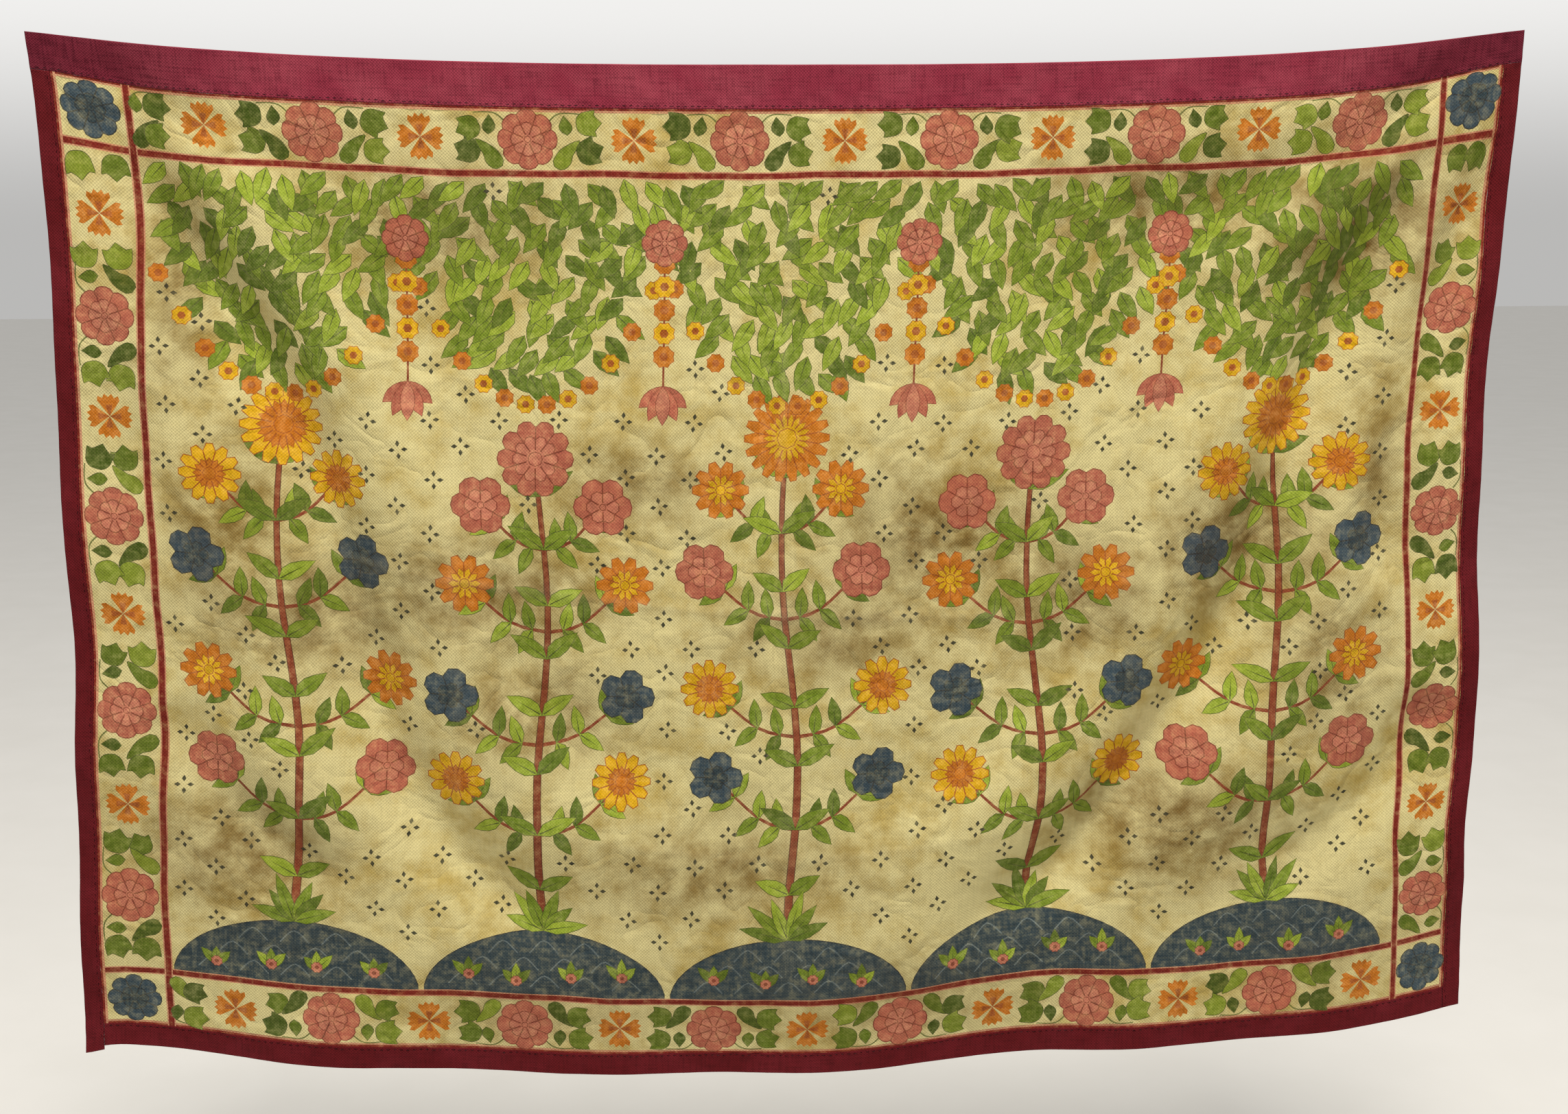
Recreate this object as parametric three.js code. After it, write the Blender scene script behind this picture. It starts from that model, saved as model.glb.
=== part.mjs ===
// A painted cotton hanging with sewn-on crimson border strips, hung by its two top corners.
// Millimetres, +Z up. The painted face looks along -Y. The origin is the middle of the top edge.
// A place on the cloth before it is hung is (across, down): across from the middle line to the
// right, down from the top edge.
import * as THREE from "three";

// Sizes of the flat cloth
const CLOTH_WIDTH = 1650;
const CLOTH_HEIGHT = 1180;
const TOP_STRIP = 48;
const SIDE_STRIP = 21;
const BOTTOM_STRIP = 28;
const LEFT_STRIP_TAIL = 5; // the left strip is cut a little longer than the cloth
const PAINTED_THICKNESS = 1.2; // one layer of painted cotton
const STRIP_THICKNESS = 2; // a strip is folded double
const SEAM_GAP = 0.3;

// Steps of the grid that follows the folds
const STEPS_ACROSS = 58;
const STEPS_DOWN = 40;
const STRIP_STEPS = 2;

// Top edge: the corners are held this much above its middle, on a curve flatter than a parabola
const TOP_SAG = 33;
const TOP_SAG_POWER = 2.6;

// Where the side edges hang, by the share of the drop
const SIDE_EDGES = [
  { drop: 0, left: -820, right: 819 },
  { drop: 0.08, left: -814, right: 816 },
  { drop: 0.2, left: -810, right: 806 },
  { drop: 0.3, left: -810, right: 797 },
  { drop: 0.4, left: -813, right: 791 },
  { drop: 0.5, left: -810, right: 792 },
  { drop: 0.6, left: -809, right: 796 },
  { drop: 0.72, left: -817, right: 800 },
  { drop: 0.8, left: -822, right: 794 },
  { drop: 0.87, left: -826, right: 801 },
  { drop: 0.94, left: -830, right: 805 },
  { drop: 1, left: -833, right: 805 },
];

// How low the bottom edge hangs, by the share of the half width
const BOTTOM_EDGE = [
  { across: -1, z: -1113 },
  { across: -0.95, z: -1110 },
  { across: -0.75, z: -1131 },
  { across: -0.4, z: -1157 },
  { across: 0, z: -1170 },
  { across: 0.35, z: -1158 },
  { across: 0.75, z: -1140 },
  { across: 0.93, z: -1121 },
  { across: 1, z: -1110 },
];

// Where the cloth sags or is drawn up: up below each held corner, down in the pocket between the
// two long lower folds, and up beside it
const POCKETS = [
  { across: -825, down: 78, reachAcross: 90, reachDown: 60, rise: 13 },
  { across: 825, down: 78, reachAcross: 110, reachDown: 60, rise: 20 },
  { across: -20, down: 1070, reachAcross: 190, reachDown: 150, rise: -10 },
  { across: 325, down: 1060, reachAcross: 95, reachDown: 140, rise: 11 },
];

// How far the cloth swells forward: the whole sheet, and the hem drawn back below the pocket
const BELLY = { forward: 40, from: 0.02, full: 0.8 };
const HEM_TUCK = { back: 24, from: 0.84, reachAcross: 430 };
const CORNER_BACK = { back: 16, reachAcross: 190, reachDown: 330 };

// Soft folds, each along a smooth line of flat places: a trough has a negative height and a ridge a
// positive one, and width and height run evenly from a fold's start to its end
const FOLDS = [
  // The two long troughs from the corners down to the pocket
  {
    path: [[-775, 40], [-668, 225], [-555, 425], [-502, 640], [-470, 780], [-360, 935], [-190, 1030]],
    width: [34, 44],
    height: [-27, -25],
  },
  {
    path: [[775, 45], [662, 235], [612, 400], [535, 630], [450, 770], [311, 950], [150, 1045]],
    width: [34, 42],
    height: [-22, -34],
  },
  // The ridges inside and outside those troughs
  {
    path: [[-690, 40], [-580, 210], [-460, 400], [-400, 600], [-365, 730], [-260, 860], [-110, 940]],
    width: [44, 66],
    height: [11, 12],
  },
  {
    path: [[690, 40], [575, 215], [515, 380], [440, 590], [355, 710], [225, 850], [70, 940]],
    width: [44, 64],
    height: [10, 13],
  },
  { path: [[-795, 150], [-700, 420], [-625, 640], [-590, 800], [-470, 985]], width: [30, 56], height: [8, 13] },
  { path: [[798, 210], [705, 440], [640, 660], [560, 810], [420, 985]], width: [28, 52], height: [8, 15] },
  // Short pulls from the corners along the top
  { path: [[-775, 20], [-640, 95], [-450, 140]], width: [24, 40], height: [-7, -5] },
  { path: [[780, 22], [640, 105], [480, 150], [330, 165]], width: [24, 40], height: [-10, -7] },
  { path: [[775, 70], [625, 190], [500, 235], [390, 270]], width: [26, 42], height: [8, 5] },
  { path: [[806, 110], [756, 300], [716, 470], [690, 640]], width: [20, 44], height: [-15, -15] },
  // Short folds near the sides
  { path: [[-730, 740], [-640, 865], [-500, 960]], width: [38, 44], height: [-14, -14] },
  { path: [[775, 750], [700, 880], [570, 970]], width: [34, 40], height: [-14, -13] },
  // Shallow inner swags across the middle
  { path: [[400, 620], [250, 780], [-20, 870]], width: [50, 56], height: [-9, -8] },
  { path: [[-360, 640], [-225, 770], [10, 890]], width: [50, 56], height: [-8, -9] },
];
const FOLD_SAMPLES = 36;
const FOLD_FADE = 0.2; // share of a fold's length over which each end dies away

// Slight waves along the loose edges
const EDGE_WAVE = { height: 4, length: 235, reach: 120 };
const HEM_WAVE = { height: 5, length: 310, reach: 130 };

const halfWidth = CLOTH_WIDTH / 2;
const smooth = (low, high, x) => THREE.MathUtils.smoothstep(x, low, high);
const bump = (x) => Math.exp(-x * x);

// A smooth curve through the rows of a table, read at a place along its first column
function along(rows, place, value) {
  const last = rows.length - 1;
  const keys = Object.keys(rows[0]);
  const at = (i) => rows[Math.min(Math.max(i, 0), last)];
  let i = 0;
  while (i < last - 1 && rows[i + 1][keys[0]] < place) i++;
  const [before, start, end, after] = [at(i - 1), at(i), at(i + 1), at(i + 2)];
  const x = (row) => row[keys[0]];
  const slope = (a, b) => (b[value] - a[value]) / Math.max(x(b) - x(a), 1e-9);
  const span = x(end) - x(start);
  const share = (place - x(start)) / span;
  const [s2, s3] = [share * share, share * share * share];
  return (
    (2 * s3 - 3 * s2 + 1) * start[value] +
    (s3 - 2 * s2 + share) * span * slope(before, end) +
    (3 * s2 - 2 * s3) * end[value] +
    (s3 - s2) * span * slope(start, after)
  );
}

// A fold's middle line, as a row of points
const foldLines = FOLDS.map(({ path }) => {
  const curve = new THREE.SplineCurve(path.map((place) => new THREE.Vector2(...place)));
  return curve.getPoints(FOLD_SAMPLES);
});

// How far one fold moves the cloth forward at a flat place
function foldHeight(fold, line, place) {
  let nearest = Infinity;
  let share = 0;
  const step = new THREE.Vector2();
  const away = new THREE.Vector2();
  for (let i = 0; i < FOLD_SAMPLES; i++) {
    step.subVectors(line[i + 1], line[i]);
    away.subVectors(place, line[i]);
    const t = THREE.MathUtils.clamp(away.dot(step) / step.lengthSq(), 0, 1);
    const far = away.addScaledVector(step, -t).length();
    if (far < nearest) {
      nearest = far;
      share = (i + t) / FOLD_SAMPLES;
    }
  }
  const fade = smooth(0, FOLD_FADE, share) * smooth(0, FOLD_FADE, 1 - share);
  const width = THREE.MathUtils.lerp(...fold.width, share);
  return THREE.MathUtils.lerp(...fold.height, share) * fade * bump(nearest / width);
}

// How far the cloth stands forward at a flat place
function forwardAt(across, down) {
  const drop = down / CLOTH_HEIGHT;
  const place = new THREE.Vector2(across, down);
  const side = halfWidth - Math.abs(across);
  const below = CLOTH_HEIGHT - down;
  let forward = BELLY.forward * smooth(BELLY.from, BELLY.full, drop);
  forward -= HEM_TUCK.back * smooth(HEM_TUCK.from, 1, drop) * bump(across / HEM_TUCK.reachAcross);
  forward -= CORNER_BACK.back * bump(side / CORNER_BACK.reachAcross) * bump(below / CORNER_BACK.reachDown);
  FOLDS.forEach((fold, i) => {
    forward += foldHeight(fold, foldLines[i], place);
  });
  const sideWave = Math.sin((2 * Math.PI * down) / EDGE_WAVE.length + Math.sign(across));
  const hemWave = Math.sin((2 * Math.PI * across) / HEM_WAVE.length);
  forward += EDGE_WAVE.height * sideWave * bump(side / EDGE_WAVE.reach) * smooth(0.05, 0.4, drop);
  forward += HEM_WAVE.height * hemWave * bump(below / HEM_WAVE.reach);
  return forward;
}

// The place in space of a flat place on the cloth
function hang(across, down) {
  const drop = down / CLOTH_HEIGHT;
  const share = across / halfWidth;
  const left = along(SIDE_EDGES, drop, "left");
  const right = along(SIDE_EDGES, drop, "right");
  const top = TOP_SAG * Math.abs(share) ** TOP_SAG_POWER;
  const bottom = along(BOTTOM_EDGE, share, "z");
  let z = THREE.MathUtils.lerp(top, bottom, drop);
  for (const { across: x, down: y, reachAcross, reachDown, rise } of POCKETS) {
    z += rise * bump((across - x) / reachAcross) * bump((down - y) / reachDown);
  }
  return new THREE.Vector3(
    THREE.MathUtils.lerp(left, right, (share + 1) / 2),
    -forwardAt(across, down),
    z,
  );
}

// The direction that the painted face looks in at a flat place
function facing(across, down) {
  const step = 1;
  const right = hang(across + step, down).sub(hang(across - step, down));
  const below = hang(across, down + step).sub(hang(across, down - step));
  return below.cross(right).normalize();
}

// Even steps from one end to the other
function stations(from, to, steps) {
  return Array.from({ length: steps + 1 }, (_, i) => THREE.MathUtils.lerp(from, to, i / steps));
}

// A closed sheet over a grid of flat places, with its thickness shared between front and back
function sheet(acrossStations, downStations, thickness) {
  const columns = acrossStations.length;
  const rows = downStations.length;
  const layer = columns * rows;
  const points = [];
  for (const side of [1, -1]) {
    for (const down of downStations) {
      for (const across of acrossStations) {
        const offset = facing(across, down).multiplyScalar((side * thickness) / 2);
        points.push(hang(across, down).add(offset));
      }
    }
  }
  const front = (row, column) => row * columns + column;
  const back = (row, column) => layer + front(row, column);
  const triangles = [];
  const quad = (a, b, c, d) => triangles.push(a, b, c, a, c, d);
  for (let r = 0; r < rows - 1; r++) {
    for (let c = 0; c < columns - 1; c++) {
      const face = [front(r, c), front(r + 1, c), front(r + 1, c + 1), front(r, c + 1)];
      const rear = [back(r, c), back(r, c + 1), back(r + 1, c + 1), back(r + 1, c)];
      // Each square is split along the folds, which lean in toward the middle
      if (acrossStations[c] + acrossStations[c + 1] > 0) {
        face.push(face.shift());
        rear.push(rear.shift());
      }
      quad(...face);
      quad(...rear);
    }
  }
  for (let r = 0; r < rows - 1; r++) {
    quad(front(r, 0), back(r, 0), back(r + 1, 0), front(r + 1, 0));
    quad(front(r + 1, columns - 1), back(r + 1, columns - 1), back(r, columns - 1), front(r, columns - 1));
  }
  for (let c = 0; c < columns - 1; c++) {
    quad(front(0, c + 1), back(0, c + 1), back(0, c), front(0, c));
    quad(front(rows - 1, c), back(rows - 1, c), back(rows - 1, c + 1), front(rows - 1, c + 1));
  }
  const geometry = new THREE.BufferGeometry().setFromPoints(points);
  geometry.setIndex(triangles);
  geometry.computeVertexNormals();
  return geometry;
}

const paintedCotton = new THREE.MeshStandardMaterial({ color: 0xb8a878, roughness: 0.9, metalness: 0 });
const crimsonCotton = new THREE.MeshStandardMaterial({ color: 0x7c2238, roughness: 0.92, metalness: 0 });

const paintedSide = halfWidth - SIDE_STRIP - SEAM_GAP / 2;
const paintedTop = TOP_STRIP + SEAM_GAP / 2;
const paintedBottom = CLOTH_HEIGHT - BOTTOM_STRIP - SEAM_GAP / 2;
const paintedAcross = stations(-paintedSide, paintedSide, STEPS_ACROSS);
const paintedDown = stations(paintedTop, paintedBottom, STEPS_DOWN);

const leftAcross = stations(-halfWidth, -paintedSide - SEAM_GAP, STRIP_STEPS);
const rightAcross = leftAcross.map((x) => -x).reverse();
const topDown = stations(0, TOP_STRIP - SEAM_GAP / 2, STRIP_STEPS);
const bottomDown = stations(CLOTH_HEIGHT - BOTTOM_STRIP + SEAM_GAP / 2, CLOTH_HEIGHT, STRIP_STEPS);

const hanging = new THREE.Group();

function addPiece(name, geometry, material) {
  const piece = new THREE.Mesh(geometry, material);
  piece.name = name;
  hanging.add(piece);
}

addPiece("painted_cloth", sheet(paintedAcross, paintedDown, PAINTED_THICKNESS), paintedCotton);
addPiece(
  "top_strip",
  sheet([...leftAcross, ...paintedAcross, ...rightAcross], topDown, STRIP_THICKNESS),
  crimsonCotton,
);
addPiece(
  "left_strip",
  sheet(leftAcross, [...paintedDown, ...bottomDown, CLOTH_HEIGHT + LEFT_STRIP_TAIL], STRIP_THICKNESS),
  crimsonCotton,
);
addPiece("right_strip", sheet(rightAcross, [...paintedDown, ...bottomDown], STRIP_THICKNESS), crimsonCotton);
addPiece("bottom_strip", sheet(paintedAcross, bottomDown, STRIP_THICKNESS), crimsonCotton);

export default hanging;
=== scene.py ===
"""A painted cotton hanging with sewn crimson strips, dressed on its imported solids.

A flat place on the cloth is (across, down), in millimetres before it was hung: across from the middle
line to the right, down from the top edge. Everything is drawn in flat places and then hung.
"""

import logging
import math
import random
from collections.abc import Iterable, Sequence
from dataclasses import dataclass, field, replace
from enum import Enum
from functools import partial

import bpy
import numpy as np
from bpy.types import Material, Mesh, NodeTree, Object, World
from bpy.types import NodeSocket as Socket
from mathutils import Matrix, Vector
from mathutils.geometry import delaunay_2d_cdt


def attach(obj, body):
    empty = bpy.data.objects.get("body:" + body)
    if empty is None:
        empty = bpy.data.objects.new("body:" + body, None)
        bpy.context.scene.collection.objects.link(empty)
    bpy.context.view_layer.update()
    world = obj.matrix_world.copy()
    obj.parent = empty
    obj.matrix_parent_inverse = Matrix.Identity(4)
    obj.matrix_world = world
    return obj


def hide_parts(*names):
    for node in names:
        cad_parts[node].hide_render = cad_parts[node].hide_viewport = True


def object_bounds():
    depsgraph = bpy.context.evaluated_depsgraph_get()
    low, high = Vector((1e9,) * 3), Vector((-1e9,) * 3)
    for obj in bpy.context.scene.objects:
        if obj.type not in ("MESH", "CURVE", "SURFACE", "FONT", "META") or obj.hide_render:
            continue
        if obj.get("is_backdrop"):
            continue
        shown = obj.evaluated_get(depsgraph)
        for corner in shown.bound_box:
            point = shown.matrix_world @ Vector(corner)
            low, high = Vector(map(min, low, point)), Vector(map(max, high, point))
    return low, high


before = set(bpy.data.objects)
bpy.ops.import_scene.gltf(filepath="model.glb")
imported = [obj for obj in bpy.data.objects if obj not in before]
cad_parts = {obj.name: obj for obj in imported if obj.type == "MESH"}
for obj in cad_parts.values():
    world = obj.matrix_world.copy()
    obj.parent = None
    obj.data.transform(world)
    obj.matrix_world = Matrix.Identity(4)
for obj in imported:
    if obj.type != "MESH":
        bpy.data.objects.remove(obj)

log = logging.getLogger("hanging")

MM = 0.001
BAKE_MAP = "OFBake"
TINY = 1e-9
NEVER_ZERO = 1e-12
SAME_PLACE = 1e-4
PLACE_DIGITS = 4
UP, DOWN = -90, 90

Pair = tuple[float, float]
Place = Pair
Triple = tuple[float, float, float]
Outline = np.ndarray


def linear(hex_colour: str) -> Triple:
    """Turns an sRGB hex colour into shares of linear red, green and blue."""
    shares = (int(hex_colour[i : i + 2], 16) / 255 for i in (1, 3, 5))
    return tuple(c / 12.92 if c <= 0.04045 else ((c + 0.055) / 1.055) ** 2.4 for c in shares)


def smooth(low: float, high: float, x: np.ndarray) -> np.ndarray:
    """Rises softly from 0 at low to 1 at high."""
    share = np.clip((x - low) / (high - low), 0, 1)
    return share * share * (3 - 2 * share)


def bump(x: np.ndarray) -> np.ndarray:
    """A soft hump of height 1 that has died away by about 2."""
    return np.exp(-x * x)


# The shape in which the cloth hangs


@dataclass(frozen=True)
class Fold:
    """A soft trough or ridge along a smooth line of flat places.

    Its width and height run evenly from its start to its end, and a trough's height is negative. It is read
    only as many widths away from its line as died_away says.
    """

    path: Sequence[Place]
    width: Pair
    height: Pair
    samples: int = 36
    fade: float = 0.2
    died_away: float = 3

    def rows(self, offsets: np.ndarray, steps: int) -> list[np.ndarray]:
        """Rows of places beside the fold's line.

        Args:
            offsets: How far to the side each row is.
            steps: Even steps along each row.

        Returns:
            One array of flat places for each row.
        """
        line = spline(self.path, steps)
        side = sideways(line)
        return [line + side * off for off in offsets]

    def forward(self, across: np.ndarray, down: np.ndarray) -> np.ndarray:
        """How far the fold moves the cloth forward.

        Args:
            across: Flat places across.
            down: Flat places down.

        Returns:
            The distance forward at each place, in millimetres.
        """
        moved = np.zeros_like(across)
        line = spline(self.path, self.samples)
        reach = self.died_away * max(self.width)
        low, high = line.min(axis=0) - reach, line.max(axis=0) + reach
        near = (across > low[0]) & (across < high[0]) & (down > low[1]) & (down < high[1])
        places = pairs(across[near], down[near])
        nearest = np.full(len(places), np.inf)
        share = np.zeros(len(places))
        for i in range(self.samples):
            step = line[i + 1] - line[i]
            away = places - line[i]
            t = np.clip(away @ step / (step @ step), 0, 1)
            far = np.linalg.norm(away - t[:, None] * step, axis=1)
            closer = far < nearest
            nearest[closer] = far[closer]
            share[closer] = (i + t[closer]) / self.samples
        ends = smooth(0, self.fade, share) * smooth(0, self.fade, 1 - share)
        width = self.width[0] + (self.width[1] - self.width[0]) * share
        height = self.height[0] + (self.height[1] - self.height[0]) * share
        moved[near] = height * ends * bump(nearest / width)
        return moved


@dataclass(frozen=True)
class Patch:
    """A soft round patch of the cloth: its middle, its reach both ways, and its strength in the middle."""

    across: float
    down: float
    reach_across: float
    reach_down: float
    strength: float

    def at(self, across: np.ndarray, down: np.ndarray) -> np.ndarray:
        """The patch's strength at flat places."""
        near = bump((across - self.across) / self.reach_across) * bump((down - self.down) / self.reach_down)
        return self.strength * near


FOLDS = (
    # The two long troughs from the corners down to the pocket
    Fold(
        ((-775, 40), (-668, 225), (-555, 425), (-502, 640), (-470, 780), (-360, 935), (-190, 1030)),
        (34, 44),
        (-27, -25),
    ),
    Fold(
        ((775, 45), (662, 235), (612, 400), (535, 630), (450, 770), (311, 950), (150, 1045)),
        (34, 42),
        (-22, -34),
    ),
    # The ridges inside and outside those troughs
    Fold(
        ((-690, 40), (-580, 210), (-460, 400), (-400, 600), (-365, 730), (-260, 860), (-110, 940)),
        (44, 66),
        (11, 12),
    ),
    Fold(
        ((690, 40), (575, 215), (515, 380), (440, 590), (355, 710), (225, 850), (70, 940)),
        (44, 64),
        (10, 13),
    ),
    Fold(((-795, 150), (-700, 420), (-625, 640), (-590, 800), (-470, 985)), (30, 56), (8, 13)),
    Fold(((798, 210), (705, 440), (640, 660), (560, 810), (420, 985)), (28, 52), (8, 15)),
    # Short pulls from the corners along the top
    Fold(((-775, 20), (-640, 95), (-450, 140)), (24, 40), (-7, -5)),
    Fold(((780, 22), (640, 105), (480, 150), (330, 165)), (24, 40), (-10, -7)),
    Fold(((775, 70), (625, 190), (500, 235), (390, 270)), (26, 42), (8, 5)),
    Fold(((806, 110), (756, 300), (716, 470), (690, 640)), (20, 44), (-15, -15)),
    # Short folds near the sides
    Fold(((-730, 740), (-640, 865), (-500, 960)), (38, 44), (-14, -14)),
    Fold(((775, 750), (700, 880), (570, 970)), (34, 40), (-14, -13)),
    # Shallow inner swags across the middle
    Fold(((400, 620), (250, 780), (-20, 870)), (50, 56), (-9, -8)),
    Fold(((-360, 640), (-225, 770), (10, 890)), (50, 56), (-8, -9)),
)

# Sharp creases from long storage: the cloth was folded in half both ways
CREASES = (
    Fold(((-4, 120), (-6, 560), (-3, 1060)), (4.5, 4.5), (0.9, 0.7), fade=0.06),
    Fold(((-560, 556), (-230, 597), (20, 618), (300, 626)), (5, 5), (1.1, 1.0), fade=0.1),
    Fold(((-395, 300), (-388, 620), (-396, 900)), (5, 5), (-0.6, -0.5), fade=0.2),
    Fold(((402, 210), (396, 520), (405, 760)), (5, 5), (0.6, 0.5), fade=0.2),
    Fold(((-420, 330), (0, 352), (430, 338)), (5, 5), (-0.6, -0.6), fade=0.2),
    Fold(((-330, 868), (0, 905), (300, 880)), (5, 5), (0.6, 0.6), fade=0.2),
)


@dataclass(frozen=True)
class HungCloth:
    """The cloth's flat sizes, in millimetres, and the shape that it takes between its held corners."""

    width: float = 1650
    height: float = 1180
    top_strip: float = 48
    side_strip: float = 21
    bottom_strip: float = 28
    left_tail: float = 5
    cloth_thickness: float = 1.2
    strip_thickness: float = 2.0
    top_sag: float = 33
    top_sag_power: float = 2.6
    # A share of the drop, and where the left and right edges hang there
    side_edges: Sequence[Triple] = (
        (0, -820, 819),
        (0.08, -814, 816),
        (0.2, -810, 806),
        (0.3, -810, 797),
        (0.4, -813, 791),
        (0.5, -810, 792),
        (0.6, -809, 796),
        (0.72, -817, 800),
        (0.8, -822, 794),
        (0.87, -826, 801),
        (0.94, -830, 805),
        (1, -833, 805),
    )
    # A share of the half width, and how low the bottom edge hangs there
    hem: Sequence[Pair] = (
        (-1, -1113),
        (-0.95, -1110),
        (-0.75, -1131),
        (-0.4, -1157),
        (0, -1170),
        (0.35, -1158),
        (0.75, -1140),
        (0.93, -1121),
        (1, -1110),
    )
    # Where the cloth is drawn up or sags between its folds
    pockets: Sequence[Patch] = (
        Patch(-825, 78, 90, 60, 13),
        Patch(825, 78, 110, 60, 20),
        Patch(-20, 1070, 190, 150, -10),
        Patch(325, 1060, 95, 140, 11),
    )
    belly_forward: float = 40
    belly_from: float = 0.02
    belly_full: float = 0.8
    hem_tuck: float = 24
    hem_tuck_from: float = 0.84
    hem_tuck_reach: float = 430
    corner_back: float = 16
    corner_reach_across: float = 190
    corner_reach_down: float = 330
    edge_wave: float = 4
    edge_wave_length: float = 235
    edge_wave_reach: float = 120
    edge_wave_grows: Pair = (0.05, 0.4)
    hem_wave: float = 5
    hem_wave_length: float = 310
    hem_wave_reach: float = 130
    folds: Sequence[Fold] = FOLDS
    creases: Sequence[Fold] = CREASES
    pucker: float = 0.7
    pucker_length: float = 31
    pucker_reach: float = 20
    slack: float = 0.9
    slope_step: float = 1.0

    @property
    def half(self) -> float:
        """Half of the flat width."""
        return self.width / 2

    @property
    def painted_side(self) -> float:
        """How far across the painted cloth reaches."""
        return self.half - self.side_strip

    @property
    def painted_bottom(self) -> float:
        """How far down the painted cloth reaches."""
        return self.height - self.bottom_strip

    def seam_distance(self, across: np.ndarray, down: np.ndarray) -> np.ndarray:
        """How far each flat place is from the nearest seam with a strip.

        Args:
            across: Flat places across.
            down: Flat places down.

        Returns:
            The distance at each place, in millimetres.
        """
        side = np.abs(self.painted_side - np.abs(across))
        ends = np.minimum(np.abs(down - self.top_strip), np.abs(down - self.painted_bottom))
        return np.minimum(side, ends)

    def forward(self, across: np.ndarray, down: np.ndarray) -> np.ndarray:
        """How far the cloth stands forward of its top edge.

        Args:
            across: Flat places across.
            down: Flat places down.

        Returns:
            The distance forward at each place, in millimetres.
        """
        drop = down / self.height
        side = self.half - np.abs(across)
        below = self.height - down
        forward = self.belly_forward * smooth(self.belly_from, self.belly_full, drop)
        forward -= self.hem_tuck * smooth(self.hem_tuck_from, 1, drop) * bump(across / self.hem_tuck_reach)
        corner = bump(side / self.corner_reach_across) * bump(below / self.corner_reach_down)
        forward -= self.corner_back * corner
        for fold in (*self.folds, *self.creases):
            forward += fold.forward(across, down)
        side_wave = np.sin(math.tau * down / self.edge_wave_length + np.sign(across))
        hem_wave = np.sin(math.tau * across / self.hem_wave_length)
        side_wave *= bump(side / self.edge_wave_reach) * smooth(*self.edge_wave_grows, drop)
        forward += self.edge_wave * side_wave
        forward += self.hem_wave * hem_wave * bump(below / self.hem_wave_reach)
        return forward + self.ripples(across, down)

    def ripples(self, across: np.ndarray, down: np.ndarray) -> np.ndarray:
        """Small unevenness: the slack of old cotton, and the pucker that sewing leaves beside a seam.

        Args:
            across: Flat places across.
            down: Flat places down.

        Returns:
            The distance forward at each place, in millimetres.
        """
        # The waves' lengths share no factor, so that no pattern repeats
        slack = np.sin(across / 31 + np.sin(down / 57)) * np.sin(down / 43 + 1.3 * np.sin(across / 71))
        slack += 0.6 * np.sin((across + down) / 19 + 2 * np.sin(down / 88)) * np.sin((across - down) / 37)
        turn = math.tau / self.pucker_length
        pucker = np.sin(across * turn + 2.1 * np.sin(across / 97))
        pucker = pucker * np.sin(down * turn + 1.7 * np.sin(down / 83) + across / 40)
        beside = bump(self.seam_distance(across, down) / self.pucker_reach)
        return self.slack * slack * (1 - beside) + self.pucker * pucker * beside

    def hang(self, across: np.ndarray, down: np.ndarray) -> np.ndarray:
        """Hangs flat places.

        Args:
            across: Flat places across.
            down: Flat places down.

        Returns:
            Their places in the row's frame, halfway through the cloth, in millimetres.
        """
        drop = down / self.height
        share = across / self.half
        drops, lefts, rights = np.transpose(self.side_edges)
        left, right = along(drops, lefts, drop), along(drops, rights, drop)
        bottom = along(*np.transpose(self.hem), share)
        top = self.top_sag * np.abs(share) ** self.top_sag_power
        z = top + (bottom - top) * drop
        for pocket in self.pockets:
            z = z + pocket.at(across, down)
        x = left + (right - left) * (share + 1) / 2
        return np.stack([x, -self.forward(across, down), z], axis=-1)

    def facing(self, across: np.ndarray, down: np.ndarray) -> np.ndarray:
        """The direction that the painted face looks in.

        Args:
            across: Flat places across.
            down: Flat places down.

        Returns:
            A unit vector for each place.
        """
        step = self.slope_step
        right = self.hang(across + step, down) - self.hang(across - step, down)
        below = self.hang(across, down + step) - self.hang(across, down - step)
        return unit(np.cross(below, right))


def along(x: np.ndarray, v: np.ndarray, at: np.ndarray) -> np.ndarray:
    """Reads a smooth curve through a table's rows.

    Args:
        x: The table's first column, rising.
        v: The column to read.
        at: Where to read it.

    Returns:
        The value at each place.
    """
    last = len(x) - 1
    before = np.maximum(np.arange(last + 1) - 1, 0)
    after = np.minimum(np.arange(last + 1) + 1, last)
    slope = (v[after] - v[before]) / (x[after] - x[before])
    i = np.clip(np.searchsorted(x, at) - 1, 0, last - 1)
    span = x[i + 1] - x[i]
    s = (at - x[i]) / span
    start = (2 * s**3 - 3 * s**2 + 1) * v[i] + (s**3 - 2 * s**2 + s) * span * slope[i]
    end = (3 * s**2 - 2 * s**3) * v[i + 1] + (s**3 - s**2) * span * slope[i + 1]
    return start + end


# Flat shapes


def unit(rows: np.ndarray) -> np.ndarray:
    """Each row's vector at length 1."""
    return rows / np.maximum(np.linalg.norm(rows, axis=1, keepdims=True), TINY)


def sideways(path: Outline) -> Outline:
    """A step of length 1 to the side of a path at each of its points."""
    way = unit(np.gradient(path, axis=0))
    return pairs(-way[:, 1], way[:, 0])


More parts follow.
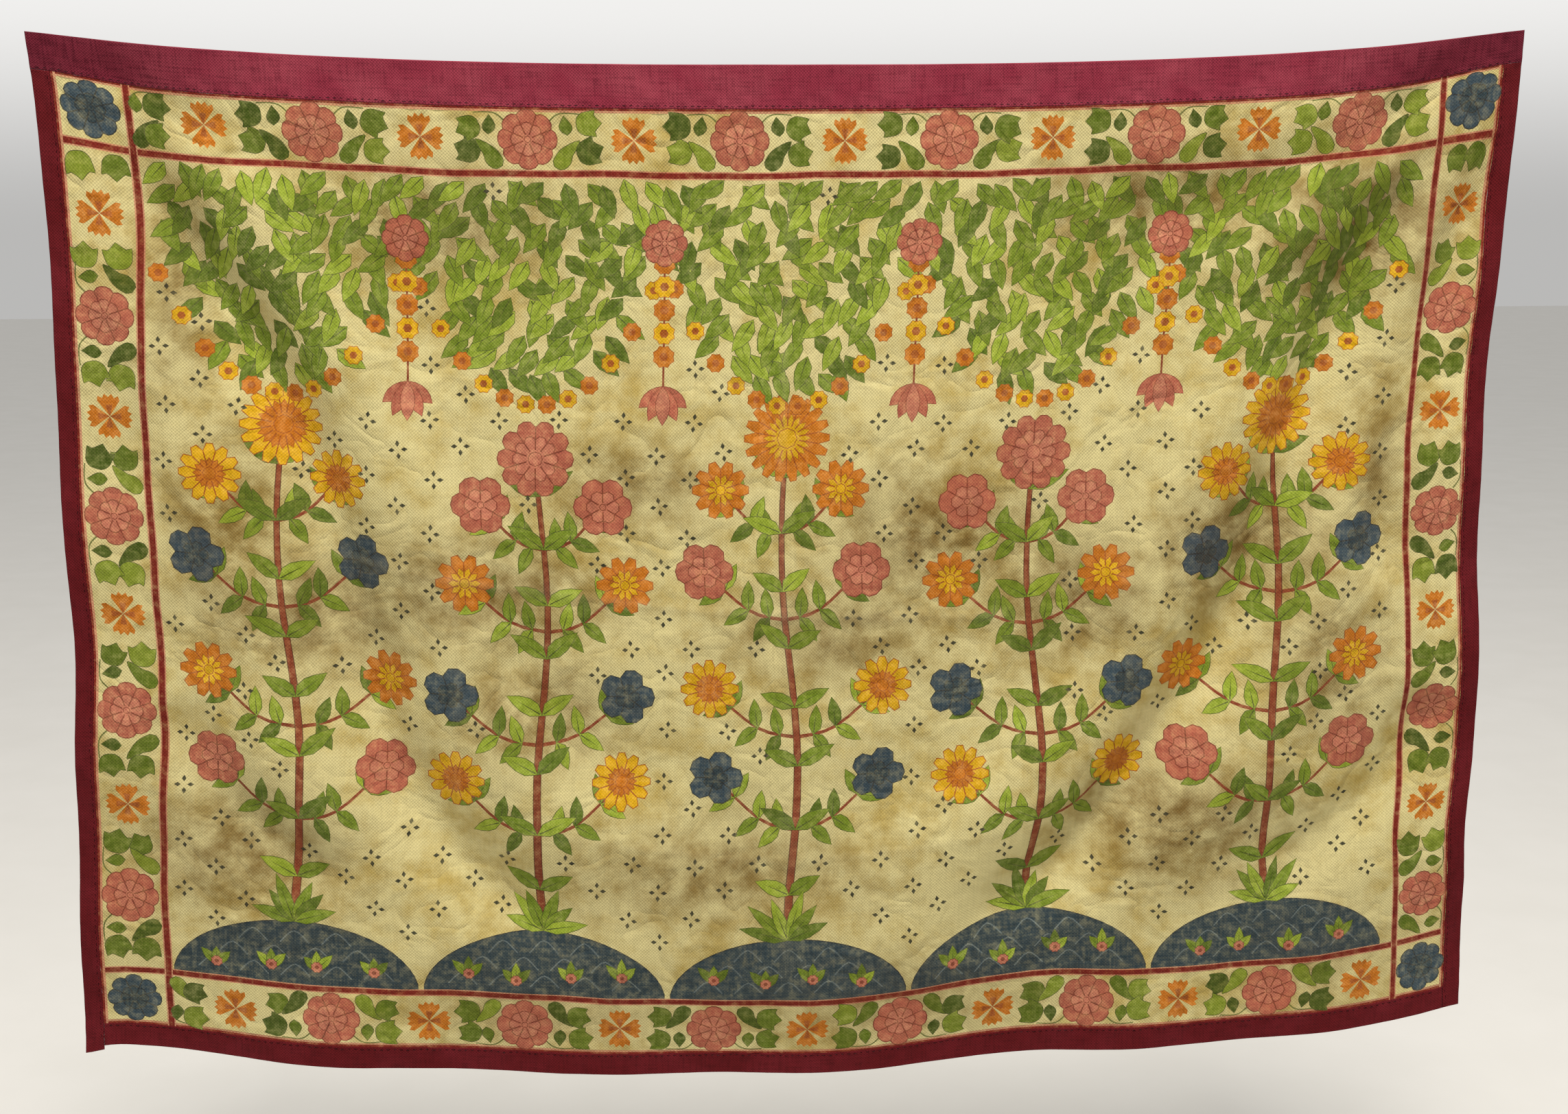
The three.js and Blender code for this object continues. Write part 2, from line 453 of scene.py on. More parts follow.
def spline(points: Sequence[Place], steps: int) -> Outline:
    """A smooth open line through a few points.

    Args:
        points: The points, in order.
        steps: How many even steps to take from end to end.

    Returns:
        The points of the line, one more than the steps.
    """
    p = np.asarray(points, float)
    last = len(p) - 1
    place = np.linspace(0, last, steps + 1)
    i = np.minimum(place.astype(int), last - 1)
    t = (place - i)[:, None]
    p0, p1, p2, p3 = p[np.maximum(i - 1, 0)], p[i], p[i + 1], p[np.minimum(i + 2, last)]
    v1, v2 = (p2 - p0) / 2, (p3 - p1) / 2
    return (2 * p1 - 2 * p2 + v1 + v2) * t**3 + (3 * p2 - 3 * p1 - 2 * v1 - v2) * t**2 + v1 * t + p1


def placed(outline: Outline, at: Place, turn: float = 0, size: Pair = (1, 1)) -> Outline:
    """Sizes an outline along its own axes, turns it from across toward down, in degrees, and moves it."""
    c, s = math.cos(math.radians(turn)), math.sin(math.radians(turn))
    return outline * size @ np.array([[c, s], [-s, c]]) + at


def pairs(across: np.ndarray, down: np.ndarray) -> Outline:
    """Two columns as points."""
    return np.stack([across, down], axis=-1)


def polar(reach: np.ndarray | float, turn: np.ndarray) -> Outline:
    """The points at a distance from the origin along each turn."""
    return pairs(reach * np.cos(turn), reach * np.sin(turn))


def ring(radius: float, steps: int) -> Outline:
    """A circle about its own origin."""
    return polar(radius, np.linspace(0, math.tau, steps, endpoint=False))


def lobed(radius: float, lobes: int, depth: float, steps: int, roundness: float = 0.55) -> Outline:
    """A round flower's outline.

    Args:
        radius: How far its lobes reach.
        lobes: How many it has.
        depth: How deep the notches between them are, as a share of the radius.
        steps: Points on each lobe.
        roundness: Less than 1 for full lobes with narrow notches between them.

    Returns:
        The outline about its own origin.
    """
    turn = np.linspace(0, math.tau, lobes * steps, endpoint=False)
    reach = radius * (1 - depth * (1 - np.abs(np.sin(lobes * turn / 2)) ** roundness))
    return polar(reach, turn)


def blade(length: float, width: float, bend: float = 0, fullest: float = 0.4, steps: int = 6) -> Outline:
    """A leaf or petal from its own origin along its first axis.

    Args:
        length: From base to tip.
        width: At its fullest.
        bend: How far the tip is bent to the side.
        fullest: Where it is widest, as a share of its length.
        steps: Points along each edge.

    Returns:
        The outline, tip and base sharp.
    """
    share = np.linspace(0, 1, steps + 1)
    power = math.log(0.5) / math.log(fullest)
    half = width / 2 * np.abs(np.sin(math.pi * share**power)) ** 0.9
    middle = bend * share**2
    upper = pairs(length * share, middle + half)
    lower = pairs(length * share, middle - half)
    return np.concatenate([upper, lower[-2:0:-1]])


def stroke(path: Outline, start: float, end: float | None = None) -> Outline:
    """A brush line along a path.

    Args:
        path: The points that it follows.
        start: Its width at the start.
        end: Its width at the end, where that differs.

    Returns:
        The outline of the line.
    """
    half = np.linspace(start, start if end is None else end, len(path))[:, None] / 2
    side = sideways(path) * half
    return np.concatenate([path + side, (path - side)[::-1]])


def area(outline: Outline) -> float:
    """An outline's area, less than zero where it runs the other way round."""
    after = np.roll(outline, -1, axis=0)
    return float(np.sum(outline[:, 0] * after[:, 1] - after[:, 0] * outline[:, 1])) / 2


def grown(outline: Outline, by: float) -> Outline:
    """An outline moved outward all round, in millimetres."""
    way = unit(np.roll(outline, -1, axis=0) - np.roll(outline, 1, axis=0))
    return outline + math.copysign(by, area(outline)) * pairs(way[:, 1], -way[:, 0])


def holds(outline: Outline, places: np.ndarray) -> np.ndarray:
    """Which places lie inside an outline.

    Args:
        outline: The points of the outline.
        places: The places to test.

    Returns:
        True for each place inside.
    """
    inside = np.zeros(len(places), bool)
    x, y = places[:, 0], places[:, 1]
    for (x1, y1), (x2, y2) in zip(outline, np.roll(outline, -1, axis=0)):
        crosses = (y1 > y) != (y2 > y)
        if crosses.any():
            inside ^= crosses & (x < (x2 - x1) * (y - y1) / (y2 - y1 + NEVER_ZERO) + x1)
    return inside


# Paints


class Pigment(Enum):
    """The paints on the cloth: an sRGB colour, and how fully the paint hides the cotton."""

    LEAF = ("#5a6c1a", 0.93)
    LEAF_LIGHT = ("#768624", 0.92)
    LEAF_DARK = ("#445517", 0.93)
    LEAF_EDGE = ("#303e19", 0.9)
    FRESH = ("#6e8323", 0.93)
    FRESH_LIGHT = ("#8ca02e", 0.92)
    FRESH_DARK = ("#586d1f", 0.93)
    FRESH_EDGE = ("#3d4e1c", 0.9)
    VINE = ("#565f2c", 0.88)
    PINK = ("#ad5c4a", 0.92)
    PINK_LIGHT = ("#b86a57", 0.9)
    ROSE = ("#7e332b", 0.9)
    ORANGE = ("#ba6c1c", 0.95)
    ORANGE_DEEP = ("#9c4a14", 0.9)
    YELLOW = ("#cf9f14", 0.95)
    SLATE = ("#354349", 0.95)
    SLATE_LIGHT = ("#50616a", 0.88)
    BLUE = ("#3b4b55", 0.95)
    BLUE_EDGE = ("#222c36", 0.92)
    BROWN = ("#823a26", 0.93)
    BROWN_EDGE = ("#4e241a", 0.9)
    LINE = ("#7a261d", 0.97)
    LINE_EDGE = ("#b56658", 0.7)
    INK = ("#33352a", 0.92)

    @property
    def colour(self) -> Triple:
        """The paint in linear light."""
        return linear(self.value[0])

    @property
    def cover(self) -> float:
        """The share of the cotton that it hides."""
        return self.value[1]


# A flower's petals, heart and lines
ROSY = (Pigment.PINK, Pigment.PINK_LIGHT, Pigment.ROSE)
SUNNY = (Pigment.YELLOW, Pigment.ORANGE, Pigment.ORANGE_DEEP)
FIERY = (Pigment.ORANGE, Pigment.YELLOW, Pigment.ORANGE_DEEP)
BLUISH = (Pigment.BLUE, Pigment.SLATE, Pigment.BLUE_EDGE)


@dataclass
class Canvas:
    """The painted shapes in flat places, in the order in which the brush laid them."""

    seed: int = 7
    unevenness: float = 0.09
    leaf_line: float = 0.8
    rib: Pair = (0.06, 0.8)
    rib_bend: float = 0.64
    outlines: list[Outline] = field(default_factory=list)
    colours: list[tuple[float, float, float, float]] = field(default_factory=list)

    def __post_init__(self) -> None:
        """Starts the hand's unevenness, the same on every run."""
        self.hand = random.Random(self.seed)

    def fill(self, outline: Outline, pigment: Pigment) -> None:
        """Fills an outline with a paint, a little lighter or darker each time.

        Args:
            outline: The points, either way round.
            pigment: The paint.
        """
        shade = 1 + self.stray(self.unevenness)
        self.outlines.append(outline if area(outline) > 0 else outline[::-1])
        self.colours.append((*(c * shade for c in pigment.colour), pigment.cover))

    def stray(self, by: float) -> float:
        """A small error of the hand, to either side."""
        return self.hand.uniform(-by, by)

    def edged(self, outline: Outline, pigment: Pigment, edge: Pigment, width: float) -> None:
        """Fills an outline and draws a fine line round it."""
        self.fill(grown(outline, width), edge)
        self.fill(outline, pigment)

    def line(self, path: Outline, pigment: Pigment, start: float, end: float | None = None) -> None:
        """Draws a brush line, which may taper."""
        self.fill(stroke(path, start, end), pigment)

    def leaf(self, at: Place, turn: float, length: float, width: float, bend: float = 0) -> None:
        """Paints a pointed leaf with a midrib, in one of three fresh greens.

        Args:
            at: Where its base is.
            turn: The way that it points, in degrees.
            length: From base to tip.
            width: At its fullest.
            bend: How far its tip is bent to the side.
        """
        green = self.hand.choice((Pigment.FRESH, Pigment.FRESH, Pigment.FRESH_LIGHT, Pigment.FRESH_DARK))
        line = self.leaf_line
        self.edged(placed(blade(length, width, bend, steps=4), at, turn), green, Pigment.FRESH_EDGE, line)
        start, end = (share * length for share in self.rib)
        rib = np.array([(start, -line), (start, line), (end, self.rib_bend * bend)])
        self.fill(placed(rib, at, turn), Pigment.FRESH_EDGE)


# Flowers


@dataclass(frozen=True)
class Rosette:
    """A round double flower: a ring of lobed petals, a smaller ring in it, and ruled petal lines."""

    radius: float
    petal: Pigment
    heart: Pigment
    edge: Pigment
    lobes: int = 8
    notch: float = 0.13
    inner: float = 0.56
    steps: int = 5
    eye: float = 0.1
    eye_steps: int = 8
    eye_line: float = 1.0
    petal_line: float = 1.3
    spoke_gap: float = 0.06
    spoke_width: Pair = (1.7, 1.3)

    def paint(self, canvas: Canvas, at: Place) -> None:
        """Paints the flower.

        Args:
            canvas: What it is painted on.
            at: The flat place of its middle.
        """
        turn = 180 / self.lobes
        outer = placed(lobed(self.radius, self.lobes, self.notch, self.steps), at, turn)
        inner = placed(lobed(self.radius * self.inner, self.lobes, self.notch, self.steps - 1), at, turn)
        canvas.edged(outer, self.petal, self.edge, self.petal_line)
        canvas.edged(inner, self.heart, self.edge, self.petal_line)
        start, end = self.eye + self.spoke_gap, 1 - self.notch
        spoke = np.array([(self.radius * start, 0), (self.radius * end, 0)])
        for i in range(self.lobes):
            canvas.line(placed(spoke, at, turn + 360 * i / self.lobes), self.edge, *self.spoke_width)
        eye = placed(ring(self.radius * self.eye, self.eye_steps), at)
        canvas.edged(eye, self.heart, self.edge, self.eye_line)


@dataclass(frozen=True)
class Pink:
    """A flower of four fan petals with toothed ends, each with a deeper fan at its base."""

    radius: float
    petal: Pigment = Pigment.ORANGE
    vein: Pigment = Pigment.ORANGE_DEEP
    petals: int = 4
    lean: float = 4
    spread: float = 71
    teeth: int = 4
    valley: float = 0.84
    base: float = 1
    base_half: float = 0.5
    vein_reach: float = 0.55
    vein_spread: float = 0.5
    vein_base: float = 0.6

    def fan(self, reach: float, base: float, spread: float) -> Outline:
        """One petal's outline, its teeth round its outer end.

        Args:
            reach: How far its teeth reach.
            base: How far from the middle it starts.
            spread: The angle of the fan, in degrees.

        Returns:
            The outline, along its own first axis.
        """
        turns = np.radians(np.linspace(-spread / 2, spread / 2, 2 * self.teeth + 1))
        out = reach * np.where(np.arange(len(turns)) % 2 == 1, 1, self.valley)
        start, end = (base, -self.base_half), (base, self.base_half)
        return np.concatenate([[start], polar(out, turns), [end]])

    def paint(self, canvas: Canvas, at: Place) -> None:
        """Paints the flower.

        Args:
            canvas: What it is painted on.
            at: The flat place of its middle.
        """
        petal = self.fan(self.radius, self.base, self.spread)
        vein = self.fan(self.radius * self.vein_reach, self.vein_base, self.spread * self.vein_spread)
        for i in range(self.petals):
            turn = canvas.stray(self.lean) + 360 * i / self.petals
            canvas.fill(placed(petal, at, turn), self.petal)
            canvas.fill(placed(vein, at, turn), self.vein)


@dataclass(frozen=True)
class Pompom:
    """A small round marigold: a toothed disc with a deeper heart."""

    radius: float
    petal: Pigment
    heart: Pigment
    teeth: int = 8
    notch: float = 0.16
    line: float = 0.8
    heart_share: float = 0.42

    def paint(self, canvas: Canvas, at: Place) -> None:
        """Paints the flower.

        Args:
            canvas: What it is painted on.
            at: The flat place of its middle.
        """
        disc = placed(lobed(self.radius, self.teeth, self.notch, 2), at)
        canvas.edged(disc, self.petal, self.heart, self.line)
        canvas.fill(placed(ring(self.radius * self.heart_share, 6), at), self.heart)


@dataclass(frozen=True)
class Tulip:
    """A cup flower of pointed petals that opens along its stem's way."""

    length: float
    petal: Pigment
    edge: Pigment
    middle: Pigment
    width: float = 0.36
    bend: float = 0.1
    fullest: float = 0.5
    line: float = 0.8
    leaning: Sequence[Pair] = ((-42, 0.82), (42, 0.82), (-20, 0.95), (20, 0.95), (0, 1))

    def paint(self, canvas: Canvas, at: Place, turn: float) -> None:
        """Paints the flower, its outer petals first.

        Args:
            canvas: What it is painted on.
            at: The flat place of its base.
            turn: The way that it opens, in degrees.
        """
        for lean, reach in self.leaning:
            petal = blade(self.length * reach, self.length * self.width, self.bend * lean, self.fullest, 5)
            pigment = self.petal if lean else self.middle
            canvas.edged(placed(petal, at, turn + lean), pigment, self.edge, self.line)


# The floral border


class Side(Enum):
    """A side of the border: its way along, and its way out to the cloth's edge."""

    TOP = ((1, 0), (0, -1))
    BOTTOM = ((1, 0), (0, 1))
    LEFT = ((0, 1), (-1, 0))
    RIGHT = ((0, 1), (1, 0))


@dataclass(frozen=True)
class FlowerRun:
    """A side's flowers.

    The band is the width from the seam to the middle of the ruled line. The first flower is that far along
    the side, an orange one, and orange and rose take turns from there.
    """

    band: float
    first: float
    step: float
    count: int


@dataclass(frozen=True)
class FloralBorder:
    """The painted border: alternate orange and rose flowers with leaves, ruled lines and corner flowers."""

    cloth: HungCloth
    line: float = 6.0
    line_edge: float = 1.4
    seam_line: float = 5.0
    wobble: float = 0.8
    sway_lengths: Pair = (47, 19)
    second_sway: float = 0.6
    line_steps: int = 60
    usual_band: float = 72
    top: FlowerRun = FlowerRun(72, -647, 117.4, 12)
    bottom: FlowerRun = FlowerRun(72, -650, 112.2, 13)
    left: FlowerRun = FlowerRun(77, 190, 113.6, 8)
    right: FlowerRun = FlowerRun(65, 187, 119, 8)
    rosette: Rosette = Rosette(32, *ROSY)
    pink: Pink = Pink(26)
    corner: Rosette = Rosette(30, *BLUISH, notch=0.16, inner=0.5)
    leaf_line: float = 0.7
    rose_reach: float = 45
    orange_reach: float = 0.4
    orange_from: float = 0.54
    orange_stray: float = 1.5
    orange_out: Pair = (16, 18.5)
    orange_turn: Pair = (-4, 26)
    orange_size: Pair = (0.84, 0.96)
    orange_slim: float = 0.9

    def run(self, side: Side) -> FlowerRun:
        """A side's flowers."""
        return dict(zip(Side, (self.top, self.bottom, self.left, self.right)))[side]

    def squeeze(self, side: Side) -> float:
        """How wide a side's band is against the usual one."""
        return self.run(side).band / self.usual_band

    def middle(self, side: Side) -> float:
        """From a side's seam to the middle of its flowers."""
        return (self.run(side).band - self.line / 2) / 2

    def seam(self, side: Side) -> float:
        """How far out along the side's way out its seam is."""
        c = self.cloth
        return dict(zip(Side, (-c.top_strip, c.painted_bottom, c.painted_side, c.painted_side)))[side]

    def to_flat(self, side: Side, outline: Outline) -> Outline:
        """Lays an outline on one side of the border.

        Args:
            side: The side.
            outline: Points as (along the side, out from the middle of the flowers).

        Returns:
            The points in flat places.
        """
        way, out = (np.array(x, float) for x in side.value)
        outward = outline[:, 1:] * self.squeeze(side) + self.seam(side) - self.middle(side)
        return outline[:, :1] * way + outward * out

    def paint(self, canvas: Canvas) -> None:
        """Paints the lines, the leaves, the flowers and the corners.

        Args:
            canvas: What they are painted on.
        """
        for side in Side:
            self.paint_lines(canvas, side)
        for side in Side:
            run = self.run(side)
            for i in range(-1, run.count + 1):
                self.paint_leaves(canvas, side, run.first + i * run.step, bool(i % 2))
            size = min(1, self.squeeze(side))
            for i in range(run.count):
                flower = self.rosette if i % 2 else self.pink
                at = self.to_flat(side, np.array([[run.first + i * run.step, 0.0]]))[0]
                replace(flower, radius=flower.radius * size).paint(canvas, tuple(at))
        upper = self.cloth.top_strip + self.middle(Side.TOP)
        lower = self.cloth.painted_bottom - self.middle(Side.BOTTOM)
        for side, sign in ((Side.LEFT, -1), (Side.RIGHT, 1)):
            across = sign * (self.cloth.painted_side - self.middle(side))
            for down in (upper, lower):
                self.corner.paint(canvas, (across, down))

    def ends(self, side: Side) -> Pair:
        """Where the painted cloth starts and ends along a side.

        Args:
            side: The side.

        Returns:
            Its two ends, in millimetres along the side.
        """
        if side in (Side.TOP, Side.BOTTOM):
            return -self.cloth.painted_side, self.cloth.painted_side
        return self.cloth.top_strip, self.cloth.painted_bottom

    def paint_lines(self, canvas: Canvas, side: Side) -> None:
        """Rules a side's red-brown line, and the thinner one beside its strip, both with a pale edge.

        Args:
            canvas: What it is drawn on.
            side: The side.
        """
        start, end = self.ends(side)
        squeeze = self.squeeze(side)
        places = np.linspace(start, end, self.line_steps + 1)
        first, second = (np.sin(places / length) for length in self.sway_lengths)
        sway = self.wobble * (first + self.second_sway * second)
        ruled = pairs(places, (self.middle(side) - self.run(side).band) / squeeze + sway)
        for width, pigment in ((self.seam_line, Pigment.LINE_EDGE), (self.seam_line / 2, Pigment.LINE)):
            edge = (self.middle(side) - width / 2) / squeeze
            beside = pairs(places, np.full_like(places, edge))
            canvas.fill(self.to_flat(side, stroke(beside, width)), pigment)
        canvas.fill(self.to_flat(side, stroke(ruled, self.line + 2 * self.line_edge)), Pigment.LINE_EDGE)
        canvas.fill(self.to_flat(side, stroke(ruled, self.line)), Pigment.LINE)

    def paint_leaves(self, canvas: Canvas, side: Side, at: float, rose: bool) -> None:
        """Paints the leaves on both sides of one flower.

        Args:
            canvas: What they are painted on.
            side: The side of the border.
            at: The flower's place along it.
            rose: True for a rose flower, false for an orange one.
        """
        start, end = self.ends(side)
        step = self.run(side).step
        room = self.usual_band + self.line
        for way in (-1, 1):
            reach = self.rose_reach if rose else self.orange_reach * step
            if not start + room < at + way * reach < end - room:
                continue
            shapes = self.rose_leaves(canvas) if rose else self.orange_leaves(canvas, step)
            for shape, pigment in shapes:
                laid = shape * (way, 1) + (at, 0)
                laid[:, 0] += max(start + room - laid[:, 0].min(), 0) + min(end - room - laid[:, 0].max(), 0)
                outline = self.to_flat(side, laid)
                if pigment is Pigment.VINE:
                    canvas.fill(outline, pigment)
                else:
                    canvas.edged(outline, pigment, Pigment.LEAF_EDGE, self.leaf_line)

    def orange_leaves(self, canvas: Canvas, step: float) -> list[tuple[Outline, Pigment]]:
        """The two three-pointed leaves beside an orange flower, their points toward it.

        Args:
            canvas: Whose hand draws them.
            step: The step to the next flower.

        Returns:
            Outlines and paints, to the right of the flower and out from it.
        """
        half = spline(((0, 0), (1, 8), (7, 14.5), (15, 16.5), (24, 18)), 9)
        notch = np.array([(22.5, 11.5), (25, 7.5)])
        leaf = np.concatenate([half, notch, [(32, 0)], notch[::-1] * (1, -1), half[:0:-1] * (1, -1)])
        hand = canvas.hand
        shapes = []
        for out in (-1, 1):
            turn = 180 + out * hand.uniform(*self.orange_turn)
            across = self.orange_from * step + canvas.stray(self.orange_stray)
            at = (across, out * hand.uniform(*self.orange_out))
            size = hand.uniform(*self.orange_size)
            green = hand.choice((Pigment.LEAF, Pigment.LEAF, Pigment.LEAF_DARK, Pigment.LEAF_LIGHT))
            shapes.append((placed(leaf, at, turn, (size, self.orange_slim * size)), green))
        return shapes

    def rose_leaves(self, canvas: Canvas) -> list[tuple[Outline, Pigment]]:
        """The curled leaf, the small leaf and the stem beside a rose flower.

        Args:
            canvas: Whose hand draws them.

        Returns:
            Outlines and paints, to the right of the flower and out from it.
        """
        path = spline(((29, -29), (37, -22), (43, -13), (57, -1)), 10)
        share = np.linspace(0, 1, len(path))[:, None]
        side = sideways(path)
        # Fullest before its middle, and fuller on one side
        half = 9.5 * np.sin(math.pi * share**0.7) ** 0.8 + 0.3
        curled = np.concatenate([path + side * half * 0.8, (path - side * half)[::-1]])
        small = placed(blade(21, 14, 1.5, 0.6), (41, 26), -86 + canvas.stray(8))
        stem = stroke(spline(((25, 20), (33, 27), (43, 29), (58, 28)), 8), 1.7, 1.3)
        greens = (Pigment.LEAF, Pigment.LEAF_LIGHT, Pigment.LEAF_DARK)
        return [
            (stem, Pigment.VINE),
            (curled, canvas.hand.choice(greens)),
            (small, canvas.hand.choice((Pigment.LEAF, Pigment.LEAF_DARK))),
        ]


# The field inside the border


@dataclass(frozen=True)
class Branch:
    """A pair of side branches: where they leave the stem, how far they reach and rise, and their flower."""

    height: float
    reach: float
    rise: float
    flower: Rosette


@dataclass(frozen=True)
class FloweringPlant:
    """A tall plant with paired branches and a tuft of leaves at its foot, standing on a mound."""

    foot: Place
    height: float
    top: Rosette
    branches: Sequence[Branch]
    sway: float
    stem_width: Pair = (9, 4)
    stem_bends: Pair = (0.35, 0.7)
    stem_steps: int = 18
    stem_line: float = 0.9
    leaf_lean: Pair = (38, 62)
    leaf_length: Pair = (40, 50)
    leaf_width: float = 18
    leaf_bend: float = 6
    tuft: Sequence[float] = (-160, -132, -108, -72, -48, -20)
    tuft_lean: float = 6
    tuft_length: Pair = (44, 62)
    tuft_width: float = 15
    branch_width: Pair = (4.5, 2.6)
    branch_middle: Pair = (0.45, 0.2)
    branch_steps: int = 8
    branch_leaves: Sequence[int] = (2, 4, 6)
    branch_lean: Pair = (45, 68)
    branch_leaf: Pair = (34, 15)
    branch_bend: float = 5

    def stem(self) -> Outline:
        """The stem's line from the foot to under the top flower.

        Returns:
            Its points, from the foot up.
        """
        x, y = self.foot
        low, high, top = (y - share * self.height for share in (*self.stem_bends, 1))
        return spline(((x, y), (x + self.sway, low), (x - self.sway, high), (x, top)), self.stem_steps)

    def paint(self, canvas: Canvas) -> None:
        """Paints the branches, stem, leaves and flowers.

        Args:
            canvas: What they are painted on.
        """
        hand = canvas.hand
        stem = self.stem()
        for branch in self.branches:
            start = stem[round(branch.height * (len(stem) - 1))]
            for way in (-1, 1):
                self.paint_branch(canvas, branch, tuple(start), way)
        outline = stroke(stem, *self.stem_width)
        canvas.edged(outline, Pigment.BROWN, Pigment.BROWN_EDGE, self.stem_line)
        for i in range(2, len(stem) - 2, 2):
            for way in (-1, 1):
                turn = UP + way * hand.uniform(*self.leaf_lean)
                length = hand.uniform(*self.leaf_length)
                canvas.leaf(tuple(stem[i]), turn, length, self.leaf_width, way * self.leaf_bend)
        for way in self.tuft:
            turn = way + canvas.stray(self.tuft_lean)
            canvas.leaf(self.foot, turn, hand.uniform(*self.tuft_length), self.tuft_width, way / 30 + 3)
        self.top.paint(canvas, tuple(stem[-1]))

    def paint_branch(self, canvas: Canvas, branch: Branch, start: Place, way: int) -> None:
        """Paints one branch with its leaves and flower.

        Args:
            canvas: What it is painted on.
            branch: Its sizes.
            start: Where it leaves the stem.
            way: Minus one to the left, one to the right.
        """
        x, y = start
        reach, rise = way * branch.reach, branch.rise
        out, up = self.branch_middle
        middle = (x + out * reach, y - up * rise)
        path = spline(((x, y), middle, (x + reach, y - rise)), self.branch_steps)
        canvas.line(path, Pigment.BROWN, *self.branch_width)
        for i in self.branch_leaves:
            step = path[i + 1] - path[i - 1]
            along_branch = math.degrees(math.atan2(step[1], step[0]))
            for lean in (-1, 1):
                turn = along_branch + lean * canvas.hand.uniform(*self.branch_lean)
                canvas.leaf(tuple(path[i]), turn, *self.branch_leaf, lean * self.branch_bend)
        branch.flower.paint(canvas, tuple(path[-1]))


def marigold(radius: float, i: int) -> Pompom:
    """The next marigold of a row, orange and yellow in turn."""
    return Pompom(radius, Pigment.YELLOW if i % 2 else Pigment.ORANGE, Pigment.ORANGE_DEEP)


@dataclass(frozen=True)
class FlowerString:
    """A string of marigolds that hangs between two garlands, with a cup flower at its end."""

    length: float = 175
    width: float = 2.4
    beads: int = 5
    bead: float = 12.5
    first: float = 30
    step: float = 26
    tuck: float = 8
    head: Rosette = Rosette(25, *ROSY)
    cup: Tulip = Tulip(44, Pigment.PINK, Pigment.ROSE, Pigment.PINK_LIGHT)

    def paint(self, canvas: Canvas, at: Place) -> None:
        """Paints the string, its marigolds, and the flowers at its ends.

        Args:
            canvas: What it is painted on.
            at: Where it hangs from.
        """
        across, start = at
        end = start + self.length
        canvas.line(np.linspace((across, start), (across, end), 8), Pigment.BROWN, self.width)
        for i in range(self.beads):
            marigold(self.bead, i).paint(canvas, (across, start + self.first + i * self.step))
        self.head.paint(canvas, (across, start + self.tuck))
        self.cup.paint(canvas, (across, end - self.tuck), DOWN)


# The ends and the crown of a line on a mound
SCALE = np.array([(-17, 9), (0, -6), (17, 9)])


@dataclass(frozen=True)
class Mound:
    """A slate mound with rows of scale lines and tufts of leaves along its foot."""

    across: float
    foot: float
    half: float
    height: float
    sink: float = 5
    shrink: float = 0.985
    line: float = 1.3
    scale_rows: Sequence[float] = (0.3, 0.56, 0.8)
    scale_count: int = 5
    scale_step: float = 48
    scale_drop: float = 7
    scale_line: float = 1.6
    tufts: int = 4
    tuft_step: float = 58
    tuft_stray: float = 6
    tuft_rise: Pair = (13, 14)
    tuft_turns: Sequence[float] = (-135, -90, -45)
    tuft_leaf: Pair = (20, 27)
    tuft_width: float = 11
    bud: Pompom = Pompom(6.5, Pigment.PINK_LIGHT, Pigment.ROSE)
    bud_above: float = 2

    def paint(self, canvas: Canvas) -> None:
        """Paints the mound, its scales and its tufts.

        Args:
            canvas: What it is painted on.
        """
        turn = np.linspace(math.pi, math.tau, 25)
        rise = pairs(self.half * np.cos(turn), self.height * np.sin(turn))
        outline = rise * self.shrink + (self.across, self.foot + self.sink)
        canvas.edged(outline, Pigment.SLATE, Pigment.BLUE_EDGE, self.line)
        for row, share in enumerate(self.scale_rows):
            count = self.scale_count - row
            for i in range(count):
                x = self.across + (i - (count - 1) / 2) * self.scale_step
                y = self.foot - share * self.height + self.scale_drop
                scale = spline(SCALE + (x, y), 8)
                canvas.line(scale, Pigment.SLATE_LIGHT, self.scale_line)
        for i in range(self.tufts):
            self.paint_tuft(canvas, self.across + (i - (self.tufts - 1) / 2) * self.tuft_step)

    def paint_tuft(self, canvas: Canvas, middle: float) -> None:
        """Paints a tuft of three leaves with a bud.

        Args:
            canvas: What it is painted on.
            middle: Where it stands, before the hand strays.
        """
        hand = canvas.hand
        low, more = self.tuft_rise
        x = middle + canvas.stray(self.tuft_stray)
        y = self.foot - low - hand.uniform(0, more)
        for turn in self.tuft_turns:
            canvas.leaf((x, y), turn, hand.uniform(*self.tuft_leaf), self.tuft_width)
        self.bud.paint(canvas, (x, y - self.bud_above))


# A four-dash star's dash, along its own first axis
DASH = np.array([(3.4, 0), (7, 2.5), (10.9, 0), (7, -2.5)])


